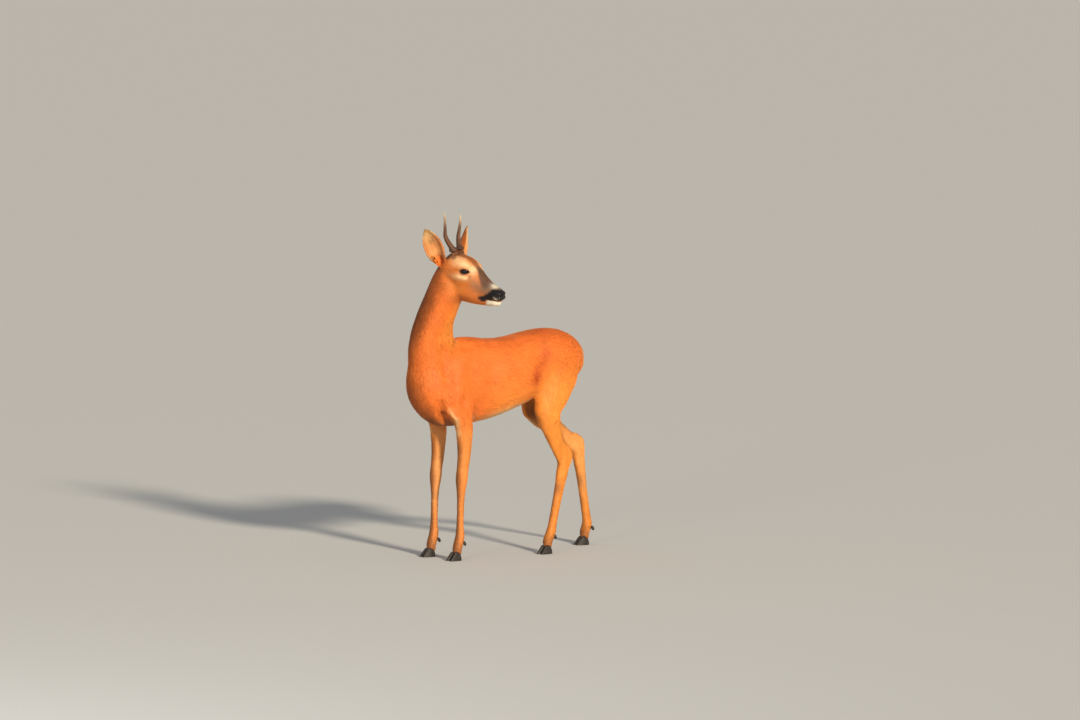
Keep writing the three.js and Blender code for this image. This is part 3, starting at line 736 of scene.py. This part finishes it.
# Mottled hair: a slow drift and a fine grain of tone over the markings.
mottle = bpy.data.node_groups.new("hair_mottle", "ShaderNodeTree")
for socket, way, kind in (
    ("Colour", "INPUT", "NodeSocketColor"),
    ("Strength", "INPUT", "NodeSocketFloat"),
    ("Colour", "OUTPUT", "NodeSocketColor"),
    ("Height", "OUTPUT", "NodeSocketFloat"),
):
    mottle.interface.new_socket(socket, in_out=way, socket_type=kind)
mottle_in = mottle.nodes.new("NodeGroupInput")
mottle_out = mottle.nodes.new("NodeGroupOutput")
place = own_place(mottle)
slow = add_node(mottle, "ShaderNodeTexNoise", Scale=28.0, Detail=3.0, Roughness=0.6)
fine = add_node(mottle, "ShaderNodeTexNoise", Scale=520.0, Detail=4.0, Roughness=0.65)
both = mottle.nodes.new("ShaderNodeMath")
both.operation = "ADD"
spread = add_node(mottle, "ShaderNodeMapRange", From_Min=0.6, From_Max=1.4, To_Min=-1.0)
dose = mottle.nodes.new("ShaderNodeMath")
dose.operation = "MULTIPLY_ADD"
dose.inputs[2].default_value = 1.0
tone = mottle.nodes.new("ShaderNodeHueSaturation")
link_all(mottle, (
    (place, slow.inputs["Vector"]),
    (place, fine.inputs["Vector"]),
    (slow.outputs["Fac"], both.inputs[0]),
    (fine.outputs["Fac"], both.inputs[1]),
    (both.outputs[0], spread.inputs["Value"]),
    (spread.outputs["Result"], dose.inputs[0]),
    (mottle_in.outputs["Strength"], dose.inputs[1]),
    (dose.outputs[0], tone.inputs["Value"]),
    (mottle_in.outputs["Colour"], tone.inputs["Color"]),
    (tone.outputs["Color"], mottle_out.inputs["Colour"]),
    (fine.outputs["Fac"], mottle_out.inputs["Height"]),
))


def mottled_colour(tree, shader, name, strength):
    """Gives a material the piece's own colours, mottled this strongly."""
    mottled = tree.nodes.new("ShaderNodeGroup")
    mottled.node_tree = mottle
    set_inputs(mottled, Strength=strength)
    tree.links.new(painted(tree, name).outputs["Color"], mottled.inputs["Colour"])
    tree.links.new(mottled.outputs["Colour"], shader.inputs["Base Color"])
    return mottled


def hair_material(name, strength, roughness):
    material, tree, shader = new_material(name, (0.5, 0.2, 0.08), roughness)
    mottled = mottled_colour(tree, shader, "markings", strength)
    set_inputs(shader, Specular_IOR_Level=0.3, Sheen_Weight=0.25, Sheen_Roughness=0.4)
    set_inputs(shader, Sheen_Tint=(1.0, 0.72, 0.45, 1))
    return material, tree, shader, mottled


hide_material, tree, shader, mottled = hair_material("hide", 0.22, 0.7)
bare = painted(tree, "bare_nose")
gloss = add_node(tree, "ShaderNodeMapRange", To_Min=0.72, To_Max=0.26)
pebbles = add_node(tree, "ShaderNodeTexVoronoi", Scale=700.0)
relief = tree.nodes.new("ShaderNodeMix")
relief.data_type = "FLOAT"
raised = add_node(tree, "ShaderNodeBump", Strength=0.45, Distance=0.0005)
link_all(tree, (
    (bare.outputs["Fac"], gloss.inputs["Value"]),
    (gloss.outputs["Result"], shader.inputs["Roughness"]),
    (own_place(tree), pebbles.inputs["Vector"]),
    (bare.outputs["Fac"], relief.inputs["Factor"]),
    (mottled.outputs["Height"], relief.inputs["A"]),
    (pebbles.outputs["Distance"], relief.inputs["B"]),
    (relief.outputs["Result"], raised.inputs["Height"]),
    (raised.outputs["Normal"], shader.inputs["Normal"]),
))

hide_points = points_of(hide.data)
set_colours(hide.data, "markings", hide_colour(hide_points, normals_of(hide.data)))
set_values(hide.data, "bare_nose", nose_share(in_head(hide_points)))
hide.data.materials.clear()
hide.data.materials.append(hide_material)
shade_smooth(hide.data)
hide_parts(*FLESH)
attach(hide, "root")

# ------------------------------------------------------------------ the eyes
# Each eye is a polished globe set behind the lids, its clear front a little raised over a dark
# brown iris with a wide, level pupil.
GLOBE_RINGS = 56
GLOBE_SIDES = 72
GLOBE_RADIUS = 13.9
CORNEA_LIFT = 0.5
PUPIL_WIDE = 5.6  # from its middle
PUPIL_HIGH = 3.2
IRIS_BROWN = paint(44, 22, 12)
IRIS_EDGE = paint(16, 9, 7)
PUPIL_BLACK = paint(6, 6, 12)

eye_material, tree, shader = new_material("eye_glass", (0.03, 0.015, 0.01), 0.05)
streaks = add_node(tree, "ShaderNodeTexNoise", Scale=900.0, Detail=2.0)
streaked = tree.nodes.new("ShaderNodeHueSaturation")
streak_range = add_node(tree, "ShaderNodeMapRange", To_Min=0.6, To_Max=1.5)
link_all(tree, (
    (own_place(tree), streaks.inputs["Vector"]),
    (streaks.outputs["Fac"], streak_range.inputs["Value"]),
    (streak_range.outputs["Result"], streaked.inputs["Value"]),
    (painted(tree, "iris").outputs["Color"], streaked.inputs["Color"]),
    (streaked.outputs["Color"], shader.inputs["Base Color"]),
))
set_inputs(shader, IOR=1.45)


def closed_rings(rings, sides):
    """Faces of a stack of rings of corners, with one corner more at each end."""
    faces = []
    last = (rings - 1) * sides
    first_pole = rings * sides
    for ring in range(rings - 1):
        for i in range(sides):
            j = (i + 1) % sides
            low, high = ring * sides, (ring + 1) * sides
            faces.append((low + i, low + j, high + j, high + i))
    for i in range(sides):
        j = (i + 1) % sides
        faces.append((first_pole, j, i))
        faces.append((last + i, last + j, first_pole + 1))
    return faces


for side in EYE_CENTRES:
    _, upright, axis = eye_axes(side)
    level = np.cross(upright, axis)
    from_front = math.pi * (np.arange(1, GLOBE_RINGS) / GLOBE_RINGS) ** 1.25
    turn = 2 * math.pi * np.arange(GLOBE_SIDES) / GLOBE_SIDES
    angle, around = [a.ravel() for a in np.meshgrid(from_front[::-1], turn, indexing="ij")]
    angle = np.append(angle, (math.pi, 0))
    around = np.append(around, (0, 0))
    across = GLOBE_RADIUS * np.sin(angle) * np.cos(around)
    rise = GLOBE_RADIUS * np.sin(angle) * np.sin(around)
    out = GLOBE_RADIUS * np.cos(angle) + CORNEA_LIFT * below(angle, 0.55, 0.75)
    globe = (across[:, None] * level + rise[:, None] * upright + out[:, None] * axis
             + np.array(EYE_CENTRES[side]))
    pupil = step(1 - np.hypot(across / PUPIL_WIDE, rise / PUPIL_HIGH), -0.08, 0.08)
    ring = below(angle, 0.60, 0.80)
    tint = IRIS_EDGE + ring[:, None] * (IRIS_BROWN - IRIS_EDGE)
    tint = tint + pupil[:, None] * (PUPIL_BLACK - tint)
    eye = new_object(
        "globe_" + side, out_of_head(globe).tolist(), closed_rings(GLOBE_RINGS - 1, GLOBE_SIDES)
    )
    set_colours(eye.data, "iris", tint)
    eye.data.materials.append(eye_material)
    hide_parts("eye_" + side)
    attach(eye, "root")

# ------------------------------------------------------------------ the antlers
# Two slim spikes of bone on short stalks of the skull. Each starts in a knobbly ring and is
# grooved and brown below, smooth and pale at its tip.
ANTLER_FOOT = (-56, 14, 28)
ANTLER_LEAN = math.radians(8)
ANTLER_RAKE = math.radians(26)
STALK_TOP = 17
SEAT = 0.3  # over the stalk
SPIKE_LENGTHS = {"left": 104, "right": 122}
SPIKE = (  # share of the length, forward, outward, radius
    (0, 0, 0, 9), (0.03, -0.5, 0.3, 12.5), (0.07, -1.5, 1, 11.5), (0.12, -3, 2.5, 8.2),
    (0.22, -4.5, 5.7, 7.4), (0.34, -5.8, 9.4, 6.7), (0.46, -4.6, 11.4, 5.8), (0.64, 3.6, 11, 4.6),
    (0.85, 12.2, 9.2, 3.1), (0.97, 15.6, 9.6, 1.7), (1, 16.2, 9.8, 0.8),
)
SPIKE_SEEDS = {"left": 31, "right": 32}
SPIKE_RINGS = 120
SPIKE_SIDES = 56
BONE_BROWN = paint(126, 84, 56)
BONE_DARK = paint(58, 36, 26)
BONE_PALE = paint(214, 184, 146)

antler_material, tree, shader = new_material("antler_bone", (0.3, 0.2, 0.12), 0.45)
bone_tone = mottled_colour(tree, shader, "bone", 0.35)
bone_bump = add_node(tree, "ShaderNodeBump", Strength=0.5, Distance=0.0006)
tree.links.new(bone_tone.outputs["Height"], bone_bump.inputs["Height"])
tree.links.new(bone_bump.outputs["Normal"], shader.inputs["Normal"])

for side, way in (("left", 1), ("right", -1)):
    axes = np.array(
        Matrix.Rotation(-ANTLER_RAKE, 3, "Y") @ Matrix.Rotation(-way * ANTLER_LEAN, 3, "X")
    )
    foot = np.array(ANTLER_FOOT) * (1, way, 1)
    shares, forward, outward, radius = np.array(SPIKE, dtype=float).T
    levels = (np.arange(SPIKE_RINGS) / (SPIKE_RINGS - 1)) ** 1.3
    levels[-1] = 1 - 1e-3
    around = 2 * math.pi * np.arange(SPIKE_SIDES) / SPIKE_SIDES
    ring, angle = [a.ravel() for a in np.meshgrid(levels, around, indexing="ij")]
    rng = np.random.default_rng(SPIKE_SEEDS[side])
    grooves = sum(
        np.cos(angle * k + rng.uniform(0, 6.3) + 2.2 * np.sin(ring * rng.uniform(3, 9)))
        for k in (3, 5, 8, 11)
    ) / 4
    beads = np.cos(angle * 14 + 2 * np.sin(ring * 60)) * np.cos((ring - 0.045) * 95)
    knobs = np.maximum(grooves * np.cos(ring * 70 + angle * 3), 0.2)
    rough = (1 - step(ring, 0.45, 0.85)) * step(ring, 0.02, 0.04)
    size = np.interp(ring, shares, radius)
    size = size + 0.55 * grooves * rough + 1.1 * beads * bump(ring, 0.045, 0.04)
    size = size + 0.8 * knobs * rough * bump(ring, 0.2, 0.16)
    size = np.minimum(size, np.interp(ring, shares, radius) + 1.0)
    local = np.stack([
        np.interp(ring, shares, forward) + size * np.cos(angle),
        way * np.interp(ring, shares, outward) + size * np.sin(angle),
        STALK_TOP + SEAT + (SPIKE_LENGTHS[side] - SEAT) * ring,
    ], 1)
    ends = np.array([
        (0, 0, STALK_TOP + SEAT),
        (forward[-1], way * outward[-1], STALK_TOP + SPIKE_LENGTHS[side]),
    ])
    spike = np.concatenate([local, ends]) @ axes.T + foot
    shade = np.append(0.5 + 0.5 * grooves, (0.5, 0.5))
    height = np.append(ring, (0, 1))
    tone = layered(np.tile(BONE_BROWN, (len(spike), 1)), (
        (BONE_DARK, (1 - shade) * (1 - step(height, 0.5, 0.9))),
        (BONE_PALE, 0.85 * step(height, 0.62, 1.0)),
        (BONE_DARK, 0.5 * (1 - step(height, 0.05, 0.2))),
    ))
    antler = new_object(
        "spike_" + side, out_of_head(spike).tolist(), closed_rings(SPIKE_RINGS, SPIKE_SIDES)
    )
    set_colours(antler.data, "bone", tone)
    antler.data.materials.append(antler_material)
    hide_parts("antler_" + side)
    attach(antler, "root")

# ------------------------------------------------------------------ the claws
# Each foot stands on two black claws of horn, with two small dewclaws behind. They grow in fine
# level rings, under a mottle of dust that dulls and roughens the horn in places.
CLAW_NODES = [
    kind + "_" + place + "_" + side + "_" + row
    for kind in ("claw", "dewclaw")
    for place in ("fore", "hind")
    for side in ("left", "right")
    for row in ("inner", "outer")
]
CLAW_CUTS = 5  # of each edge
CLAW_ROUNDS = 14  # of softening
RING_PITCH = 0.0021
RING_DEPTH = 0.00004
claw_material, tree, shader = new_material("claw_horn", (0.02, 0.017, 0.015), 0.42)
claw_place = own_place(tree)
rings = add_node(
    tree, "ShaderNodeTexWave", Scale=210.0, Distortion=2.5, Detail=3.0, Detail_Scale=2.0
)
rings.bands_direction = "Z"
dust = add_node(tree, "ShaderNodeTexNoise", Scale=160.0, Detail=5.0, Roughness=0.7)
horn = tree.nodes.new("ShaderNodeValToRGB")
for stop, position, colour in zip(
    horn.color_ramp.elements, (0.35, 0.8), ((0.010, 0.008, 0.007, 1), (0.075, 0.058, 0.045, 1))
):
    stop.position = position
    stop.color = colour
wear = add_node(tree, "ShaderNodeMapRange", To_Min=0.3, To_Max=0.6)
ringed = add_node(tree, "ShaderNodeBump", Strength=0.5, Distance=0.0006)
link_all(tree, (
    (claw_place, rings.inputs["Vector"]),
    (claw_place, dust.inputs["Vector"]),
    (dust.outputs["Fac"], horn.inputs["Fac"]),
    (horn.outputs["Color"], shader.inputs["Base Color"]),
    (dust.outputs["Fac"], wear.inputs["Value"]),
    (wear.outputs["Result"], shader.inputs["Roughness"]),
    (rings.outputs["Fac"], ringed.inputs["Height"]),
    (ringed.outputs["Normal"], shader.inputs["Normal"]),
))

for node in CLAW_NODES:
    verts, faces = joined_nodes((node,))
    claw = new_object(node.replace("claw", "horn"), verts.tolist(), faces.tolist())
    shell = bmesh.new()
    shell.from_mesh(claw.data)
    bmesh.ops.remove_doubles(shell, verts=shell.verts, dist=WELD)
    bmesh.ops.subdivide_edges(shell, edges=shell.edges, cuts=CLAW_CUTS, use_grid_fill=True)
    bmesh.ops.triangulate(shell, faces=shell.faces)
    shell.to_mesh(claw.data)
    shell.free()
    before = points_of(claw.data)
    after = softened(before, edges_of(claw.data), np.full(len(before), 0.5), CLAW_ROUNDS)
    sole = before[:, 2] < 0.0005
    after[sole, 2] = before[sole, 2]
    after[:, 2] = np.maximum(after[:, 2], before[:, 2].min())
    growth = RING_DEPTH * np.sin(after[:, 2] * 2 * math.pi / RING_PITCH) * ~sole
    put_points(claw.data, after)
    put_points(claw.data, after + normals_of(claw.data) * growth[:, None] * (1, 1, 0))
    shade_smooth(claw.data)
    claw.data.materials.append(claw_material)
    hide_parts(node)
    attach(claw, "root")

# ------------------------------------------------------------------ the coat
# Short summer hair grows all over the hide in flat, overlapping tufts. They lie from the nose over
# the crown, down the neck, back along the trunk and down the legs, and are least on face and feet.
COAT_SEED = 2718
MAP_PATCH = 0.003  # across a tuft on the coat's map
MAP_EDGE = 0.01
FLOW = (  # where the hair runs from, where to, and how wide around, in metres
    ((0.222, 0.066, 0.872), (0.264, 0.008, 0.700), 0.07),
    ((0.264, 0.008, 0.700), (0.250, 0.000, 0.560), 0.08),
    ((0.330, 0.000, 0.640), (0.310, 0.000, 0.480), 0.06),
    ((0.300, 0.000, 0.470), (0.160, 0.000, 0.390), 0.05),
    ((0.220, 0.070, 0.560), (0.140, 0.080, 0.480), 0.06),
    ((0.220, -0.07, 0.560), (0.140, -0.08, 0.480), 0.06),
    ((0.200, 0.000, 0.640), (-0.200, 0.000, 0.660), 0.09),
    ((0.120, 0.080, 0.520), (-0.120, 0.080, 0.500), 0.09),
    ((0.120, -0.08, 0.520), (-0.120, -0.08, 0.500), 0.09),
    ((0.160, 0.000, 0.390), (-0.100, 0.000, 0.430), 0.07),
    ((-0.180, 0.000, 0.650), (-0.290, 0.000, 0.540), 0.07),
    ((-0.270, 0.000, 0.600), (-0.230, 0.000, 0.440), 0.05),
    ((0.205, 0.066, 0.440), (0.200, 0.066, 0.300), 0.05),
    ((0.200, 0.066, 0.300), (0.210, 0.066, 0.030), 0.05),
    ((0.205, -0.066, 0.440), (0.200, -0.066, 0.300), 0.05),
    ((0.200, -0.066, 0.300), (0.210, -0.066, 0.030), 0.05),
    ((-0.168, 0.070, 0.590), (-0.110, 0.080, 0.440), 0.06),
    ((-0.110, 0.080, 0.440), (-0.165, 0.070, 0.268), 0.05),
    ((-0.165, 0.070, 0.268), (-0.119, 0.071, 0.066), 0.05),
    ((-0.119, 0.071, 0.066), (-0.108, 0.072, 0.030), 0.04),
    ((-0.178, -0.070, 0.590), (-0.160, -0.080, 0.430), 0.06),
    ((-0.170, -0.080, 0.430), (-0.313, -0.063, 0.290), 0.05),
    ((-0.313, -0.063, 0.290), (-0.352, -0.065, 0.066), 0.05),
    ((-0.352, -0.065, 0.066), (-0.345, -0.066, 0.030), 0.04),
)
HEAD_FLOW = (  # the same on the head, in millimetres in its own frame
    ((112, 0, -44), (20, 0, 8), 30),
    ((20, 0, 10), (-90, 0, 30), 40),
    ((104, 18, -55), (10, 44, -30), 26),
    ((104, -18, -55), (10, -44, -30), 26),
    ((10, 44, -34), (-90, 44, -44), 34),
    ((10, -44, -34), (-90, -44, -44), 34),
    ((108, 0, -84), (-80, 0, -104), 26),
    ((-84, -38, -5), (-126, -99, 113), 34),
    ((-73, 42, -4), (-120, 137, 87), 34),
)
flow_rows = [
    (np.array(start) + STAND, np.array(end) + STAND, reach) for start, end, reach in FLOW
] + [
    (*out_of_head(np.array((start, end), dtype=float)), reach / 1000)
    for start, end, reach in HEAD_FLOW
]


def lie_of_hair(points):
    """The way the hair runs at each place, before it is laid on the skin."""
    total = np.tile((-0.02, 0.0, -0.02), (len(points), 1))
    for start, end, reach in flow_rows:
        way = end - start
        share = np.clip((points - start) @ way / (way @ way), 0, 1)
        off = np.linalg.norm(points - start - share[:, None] * way, axis=1)
        weight = np.exp(-(off / reach) ** 2)
        total = total + weight[:, None] * way / np.linalg.norm(way)
    return total


def laid_on(ways, normals):
    """These ways turned to lie flat on the skin, one unit long."""
    flat = ways - (ways * normals).sum(1)[:, None] * normals
    return flat / np.maximum(np.linalg.norm(flat, axis=1), 1e-9)[:, None]


hide_tree = BVHTree.FromPolygons(
    [tuple(p) for p in points_of(hide.data)],
    [tuple(p.vertices) for p in hide.data.polygons],
)
hide.data.calc_loop_triangles()
corners = read_rows(hide.data.loop_triangles, "vertices", 3, np.int64)
hide_points = points_of(hide.data)
hide_normals = normals_of(hide.data)
a, b, c = (hide_points[corners[:, k]] for k in range(3))
triangle_area = np.linalg.norm(np.cross(b - a, c - a), axis=1) / 2
middles = (a + b + c) / 3


def hair_sizes(points):
    """Length, width and lift of a tuft, and how many grow on a square metre."""
    places = in_head(points)
    head = head_share(places)
    ears = ear_share(places)
    legs = below(points[:, 2], 0.30, 0.46)
    feet = below(points[:, 2], 0.05, 0.16)
    length = 21.0 - 8.0 * legs - 3.5 * feet
    width = 1.9 - 0.6 * legs - 0.2 * feet
    count = 98000 + 72000 * legs + 60000 * feet
    face = step(places[:, 0], -60, 60)
    length = length + head * (12.0 - 5.0 * face - length)
    width = width + head * (1.15 - 0.4 * face - width)
    count = count + head * (240000 + 170000 * face - count)
    length = length + ears * (9.0 - length)
    width = width + ears * (0.9 - width)
    count = count + ears * (270000 - count)
    crown = blob(places, (-58, 0, 30), (22, 24, 18)) * (1 - ears)
    body = points - np.array(STAND)
    tassel = blob(body, (-0.055, 0, 0.41), (0.022, 0.02, 0.03))
    dewclaws = bump(points[:, 2], 0.058, 0.016)
    brisket = blob(body, (0.27, 0, 0.41), (0.07, 0.06, 0.03))
    length = length + crown * 9 + tassel * 22 + dewclaws * 5 + brisket * 6
    lift = 0.06 + 0.18 * crown + 0.5 * tassel + 0.06 * dewclaws
    bare = nose_share(places)
    for name in EYE_CENTRES:
        along, up, _, far = round_eye(places, name)
        past = past_lid_edge(along, up)
        bare = np.maximum(bare, (1 - step(past, 1.2, 1.8)) * (far < 25))
        length = np.where(far < 30, np.minimum(length, 3.0 + 0.2 * np.maximum(past, 0)), length)
    return length / 1000, width / 1000, lift, count * (1 - bare)


def grown(chosen, rng):
    """Roots spread evenly over these triangles of the hide, as places and normals."""
    weight = triangle_area[chosen] * hair_sizes(middles[chosen])[3]
    total = int(weight.sum())
    sums = np.cumsum(weight)
    picks = (np.arange(total) + rng.random(total)) * sums[-1] / total
    triangles = chosen[np.minimum(np.searchsorted(sums, picks), len(chosen) - 1)]
    u, v = rng.random(total), rng.random(total)
    over = u + v > 1
    u, v = np.where(over, 1 - u, u), np.where(over, 1 - v, v)
    shares = np.stack([1 - u - v, u, v], 1)
    roots = np.einsum("nk,nkd->nd", shares, hide_points[corners[triangles]])
    normals = np.einsum("nk,nkd->nd", shares, hide_normals[corners[triangles]])
    return roots, normals / np.linalg.norm(normals, axis=1)[:, None]


# A tuft is a flat, closed spike: three corners in the skin, three at its middle and its tip.
TUFT_CORNERS = 7
TUFT_FACES = np.array([
    (0, 2, 1), (0, 1, 4), (0, 4, 3), (1, 2, 5), (1, 5, 4), (2, 0, 3), (2, 3, 5),
    (3, 4, 6), (4, 5, 6), (5, 3, 6),
])


def snapped(points, height):
    """Points brought to a height over the hide under them."""
    out = np.empty_like(points)
    for i, point in enumerate(points):
        place, normal, _, _ = hide_tree.find_nearest(point)
        out[i] = place + normal * height[i]
    return out


def add_tufts(name, chosen, seed, unwrap):
    """One piece of the coat, with a tuft at each root, as a joined mesh."""
    rng = np.random.default_rng(seed)
    roots, normals = grown(chosen, rng)
    count = len(roots)
    length, width, lift, _ = hair_sizes(roots)
    length = length * rng.uniform(0.75, 1.25, count)
    width = width * rng.uniform(0.8, 1.2, count)
    along = laid_on(lie_of_hair(roots), normals)
    sweep = rng.normal(0, 0.16, count) + 0.22 * np.sin(roots @ np.array((61.0, 47.0, 53.0)))
    across = np.cross(normals, along)
    along = along * np.cos(sweep)[:, None] + across * np.sin(sweep)[:, None]
    across = np.cross(normals, along)
    height = width * 0.26
    middle = snapped(roots + along * (0.5 * length)[:, None], 0.16 * width + lift * length * 0.5)
    tip = snapped(
        roots + along * length[:, None], 0.12 * width + lift * length * rng.uniform(0.5, 1.6, count)
    )
    flat = across * (0.5 * width)[:, None]
    rise = normals * height[:, None]
    sunk = roots - normals * (0.0004 + 0.2 * width)[:, None]
    verts = np.stack([
        sunk - flat * 0.7, sunk + flat * 0.7, sunk + rise,
        middle - flat - rise * 0.3, middle + flat - rise * 0.3, middle + rise * 0.7, tip,
    ], 1)
    corners_used = (TUFT_FACES + TUFT_CORNERS * np.arange(count)[:, None, None]).ravel()
    mesh = bpy.data.meshes.new(name)
    mesh.vertices.add(TUFT_CORNERS * count)
    mesh.vertices.foreach_set("co", verts.ravel())
    mesh.loops.add(len(corners_used))
    mesh.loops.foreach_set("vertex_index", corners_used.astype(np.int32))
    mesh.polygons.add(len(TUFT_FACES) * count)
    mesh.polygons.foreach_set("loop_start", np.arange(0, len(corners_used), 3, dtype=np.int32))
    shade_smooth(mesh)
    mesh.update()
    # Hair that lies flat catches the light much as the skin under it does.
    lean = 0.35 * across
    facings = np.stack([
        normals - lean, normals + lean, normals, normals - lean, normals + lean, normals, normals,
    ], 1).reshape(-1, 3)
    facings /= np.linalg.norm(facings, axis=1)[:, None]
    mesh.normals_split_custom_set_from_vertices(facings.tolist())
    # No two tufts have quite the same tone, least of all on the grizzled bridge of the nose.
    base = hide_colour(roots, normals)
    grizzled = blob(in_head(roots), (25, 0, 5), (60, 22, 45)) * head_share(in_head(roots))
    variation = 0.07 + 0.25 * grizzled
    tone = np.maximum(rng.normal(1.0, 1.0, count) * variation + 1 - variation, 0.4)
    warm = rng.normal(0.0, 0.03, count)
    base = base * tone[:, None] * np.stack([1 + 0 * warm, 1 + warm, 1 + 1.5 * warm], 1)
    shade = np.array((0.80, 0.80, 0.86, 0.98, 0.98, 1.01, 1.10))  # from root to tip
    set_colours(mesh, "markings", (base[:, None, :] * shade[None, :, None]).reshape(-1, 3))
    patch = np.array((
        (-0.5, -0.5), (0.5, -0.5), (0, -0.3), (-0.5, 0.2), (0.5, 0.2), (0, 0.3), (0, 0.5),
    )) * MAP_PATCH
    spots = (unwrap(roots)[:, None, :] + patch).reshape(-1, 2)
    layer = mesh.uv_layers.new(name="OFBake")
    layer.data.foreach_set("uv", spots[corners_used].ravel())
    piece = bpy.data.objects.new(name, mesh)
    bpy.context.scene.collection.objects.link(piece)
    mesh.materials.append(coat_material)
    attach(piece, "root")


def wrapped(start, end):
    """An unwrap of a part as a tube: round the line between two places, and along it."""
    start, end = np.array(start), np.array(end)
    way = (end - start) / np.linalg.norm(end - start)
    side = np.cross(way, (0.31, 0.83, 0.47))
    side /= np.linalg.norm(side)
    up = np.cross(way, side)

    def places(points):
        off = points - start
        along = (off @ way) / np.linalg.norm(end - start)
        turn = np.arctan2(off @ up, off @ side) / (2 * math.pi) + 0.5
        return MAP_EDGE + (1 - 2 * MAP_EDGE) * np.clip(np.stack([turn, along], 1), 0, 1)

    return places


coat_material = hair_material("coat", 0.16, 0.55)[0]
middle_places = in_head(middles)
forward, _, height = middles.T
is_left = middles[:, 1] > STAND.y
is_head = (head_share(middle_places) > 0.5) | (ear_share(middle_places) > 0.5)
is_left_cheek = middle_places[:, 1] > 0
is_neck = (forward > 0.15) & (height > 0.52) & ~is_head
is_leg = (height < 0.43) & ~is_head
is_fore = is_leg & (forward > 0.08)
is_hind = is_leg & ~is_fore
is_trunk = ~is_head & ~is_leg & ~is_neck
BACK_LINE = ((-0.28, -0.06, 0.54), (0.36, -0.06, 0.54))
HEAD_LINE = ((0.26, -0.05, 0.90), (0.17, 0.16, 0.80))
COAT_PIECES = (  # name, the triangles it grows on, and the line that it is unwrapped round
    ("trunk_left", is_trunk & is_left, *BACK_LINE),
    ("trunk_right", is_trunk & ~is_left, *BACK_LINE),
    ("neck", is_neck, (0.27, -0.05, 0.50), (0.24, 0.0, 0.90)),
    ("head_left", is_head & is_left_cheek, *HEAD_LINE),
    ("head_right", is_head & ~is_left_cheek, *HEAD_LINE),
    ("foreleg_left", is_fore & is_left, (0.22, 0.01, 0.0), (0.22, 0.01, 0.44)),
    ("foreleg_right", is_fore & ~is_left, (0.22, -0.124, 0.0), (0.22, -0.124, 0.44)),
    ("hindleg_left", is_hind & is_left, (-0.12, 0.012, 0.0), (-0.12, 0.012, 0.44)),
    ("hindleg_right", is_hind & ~is_left, (-0.28, -0.122, 0.0), (-0.20, -0.122, 0.44)),
)
for number, (name, mask, start, end) in enumerate(COAT_PIECES):
    add_tufts("coat_" + name, np.nonzero(mask)[0], COAT_SEED + number, wrapped(start, end))
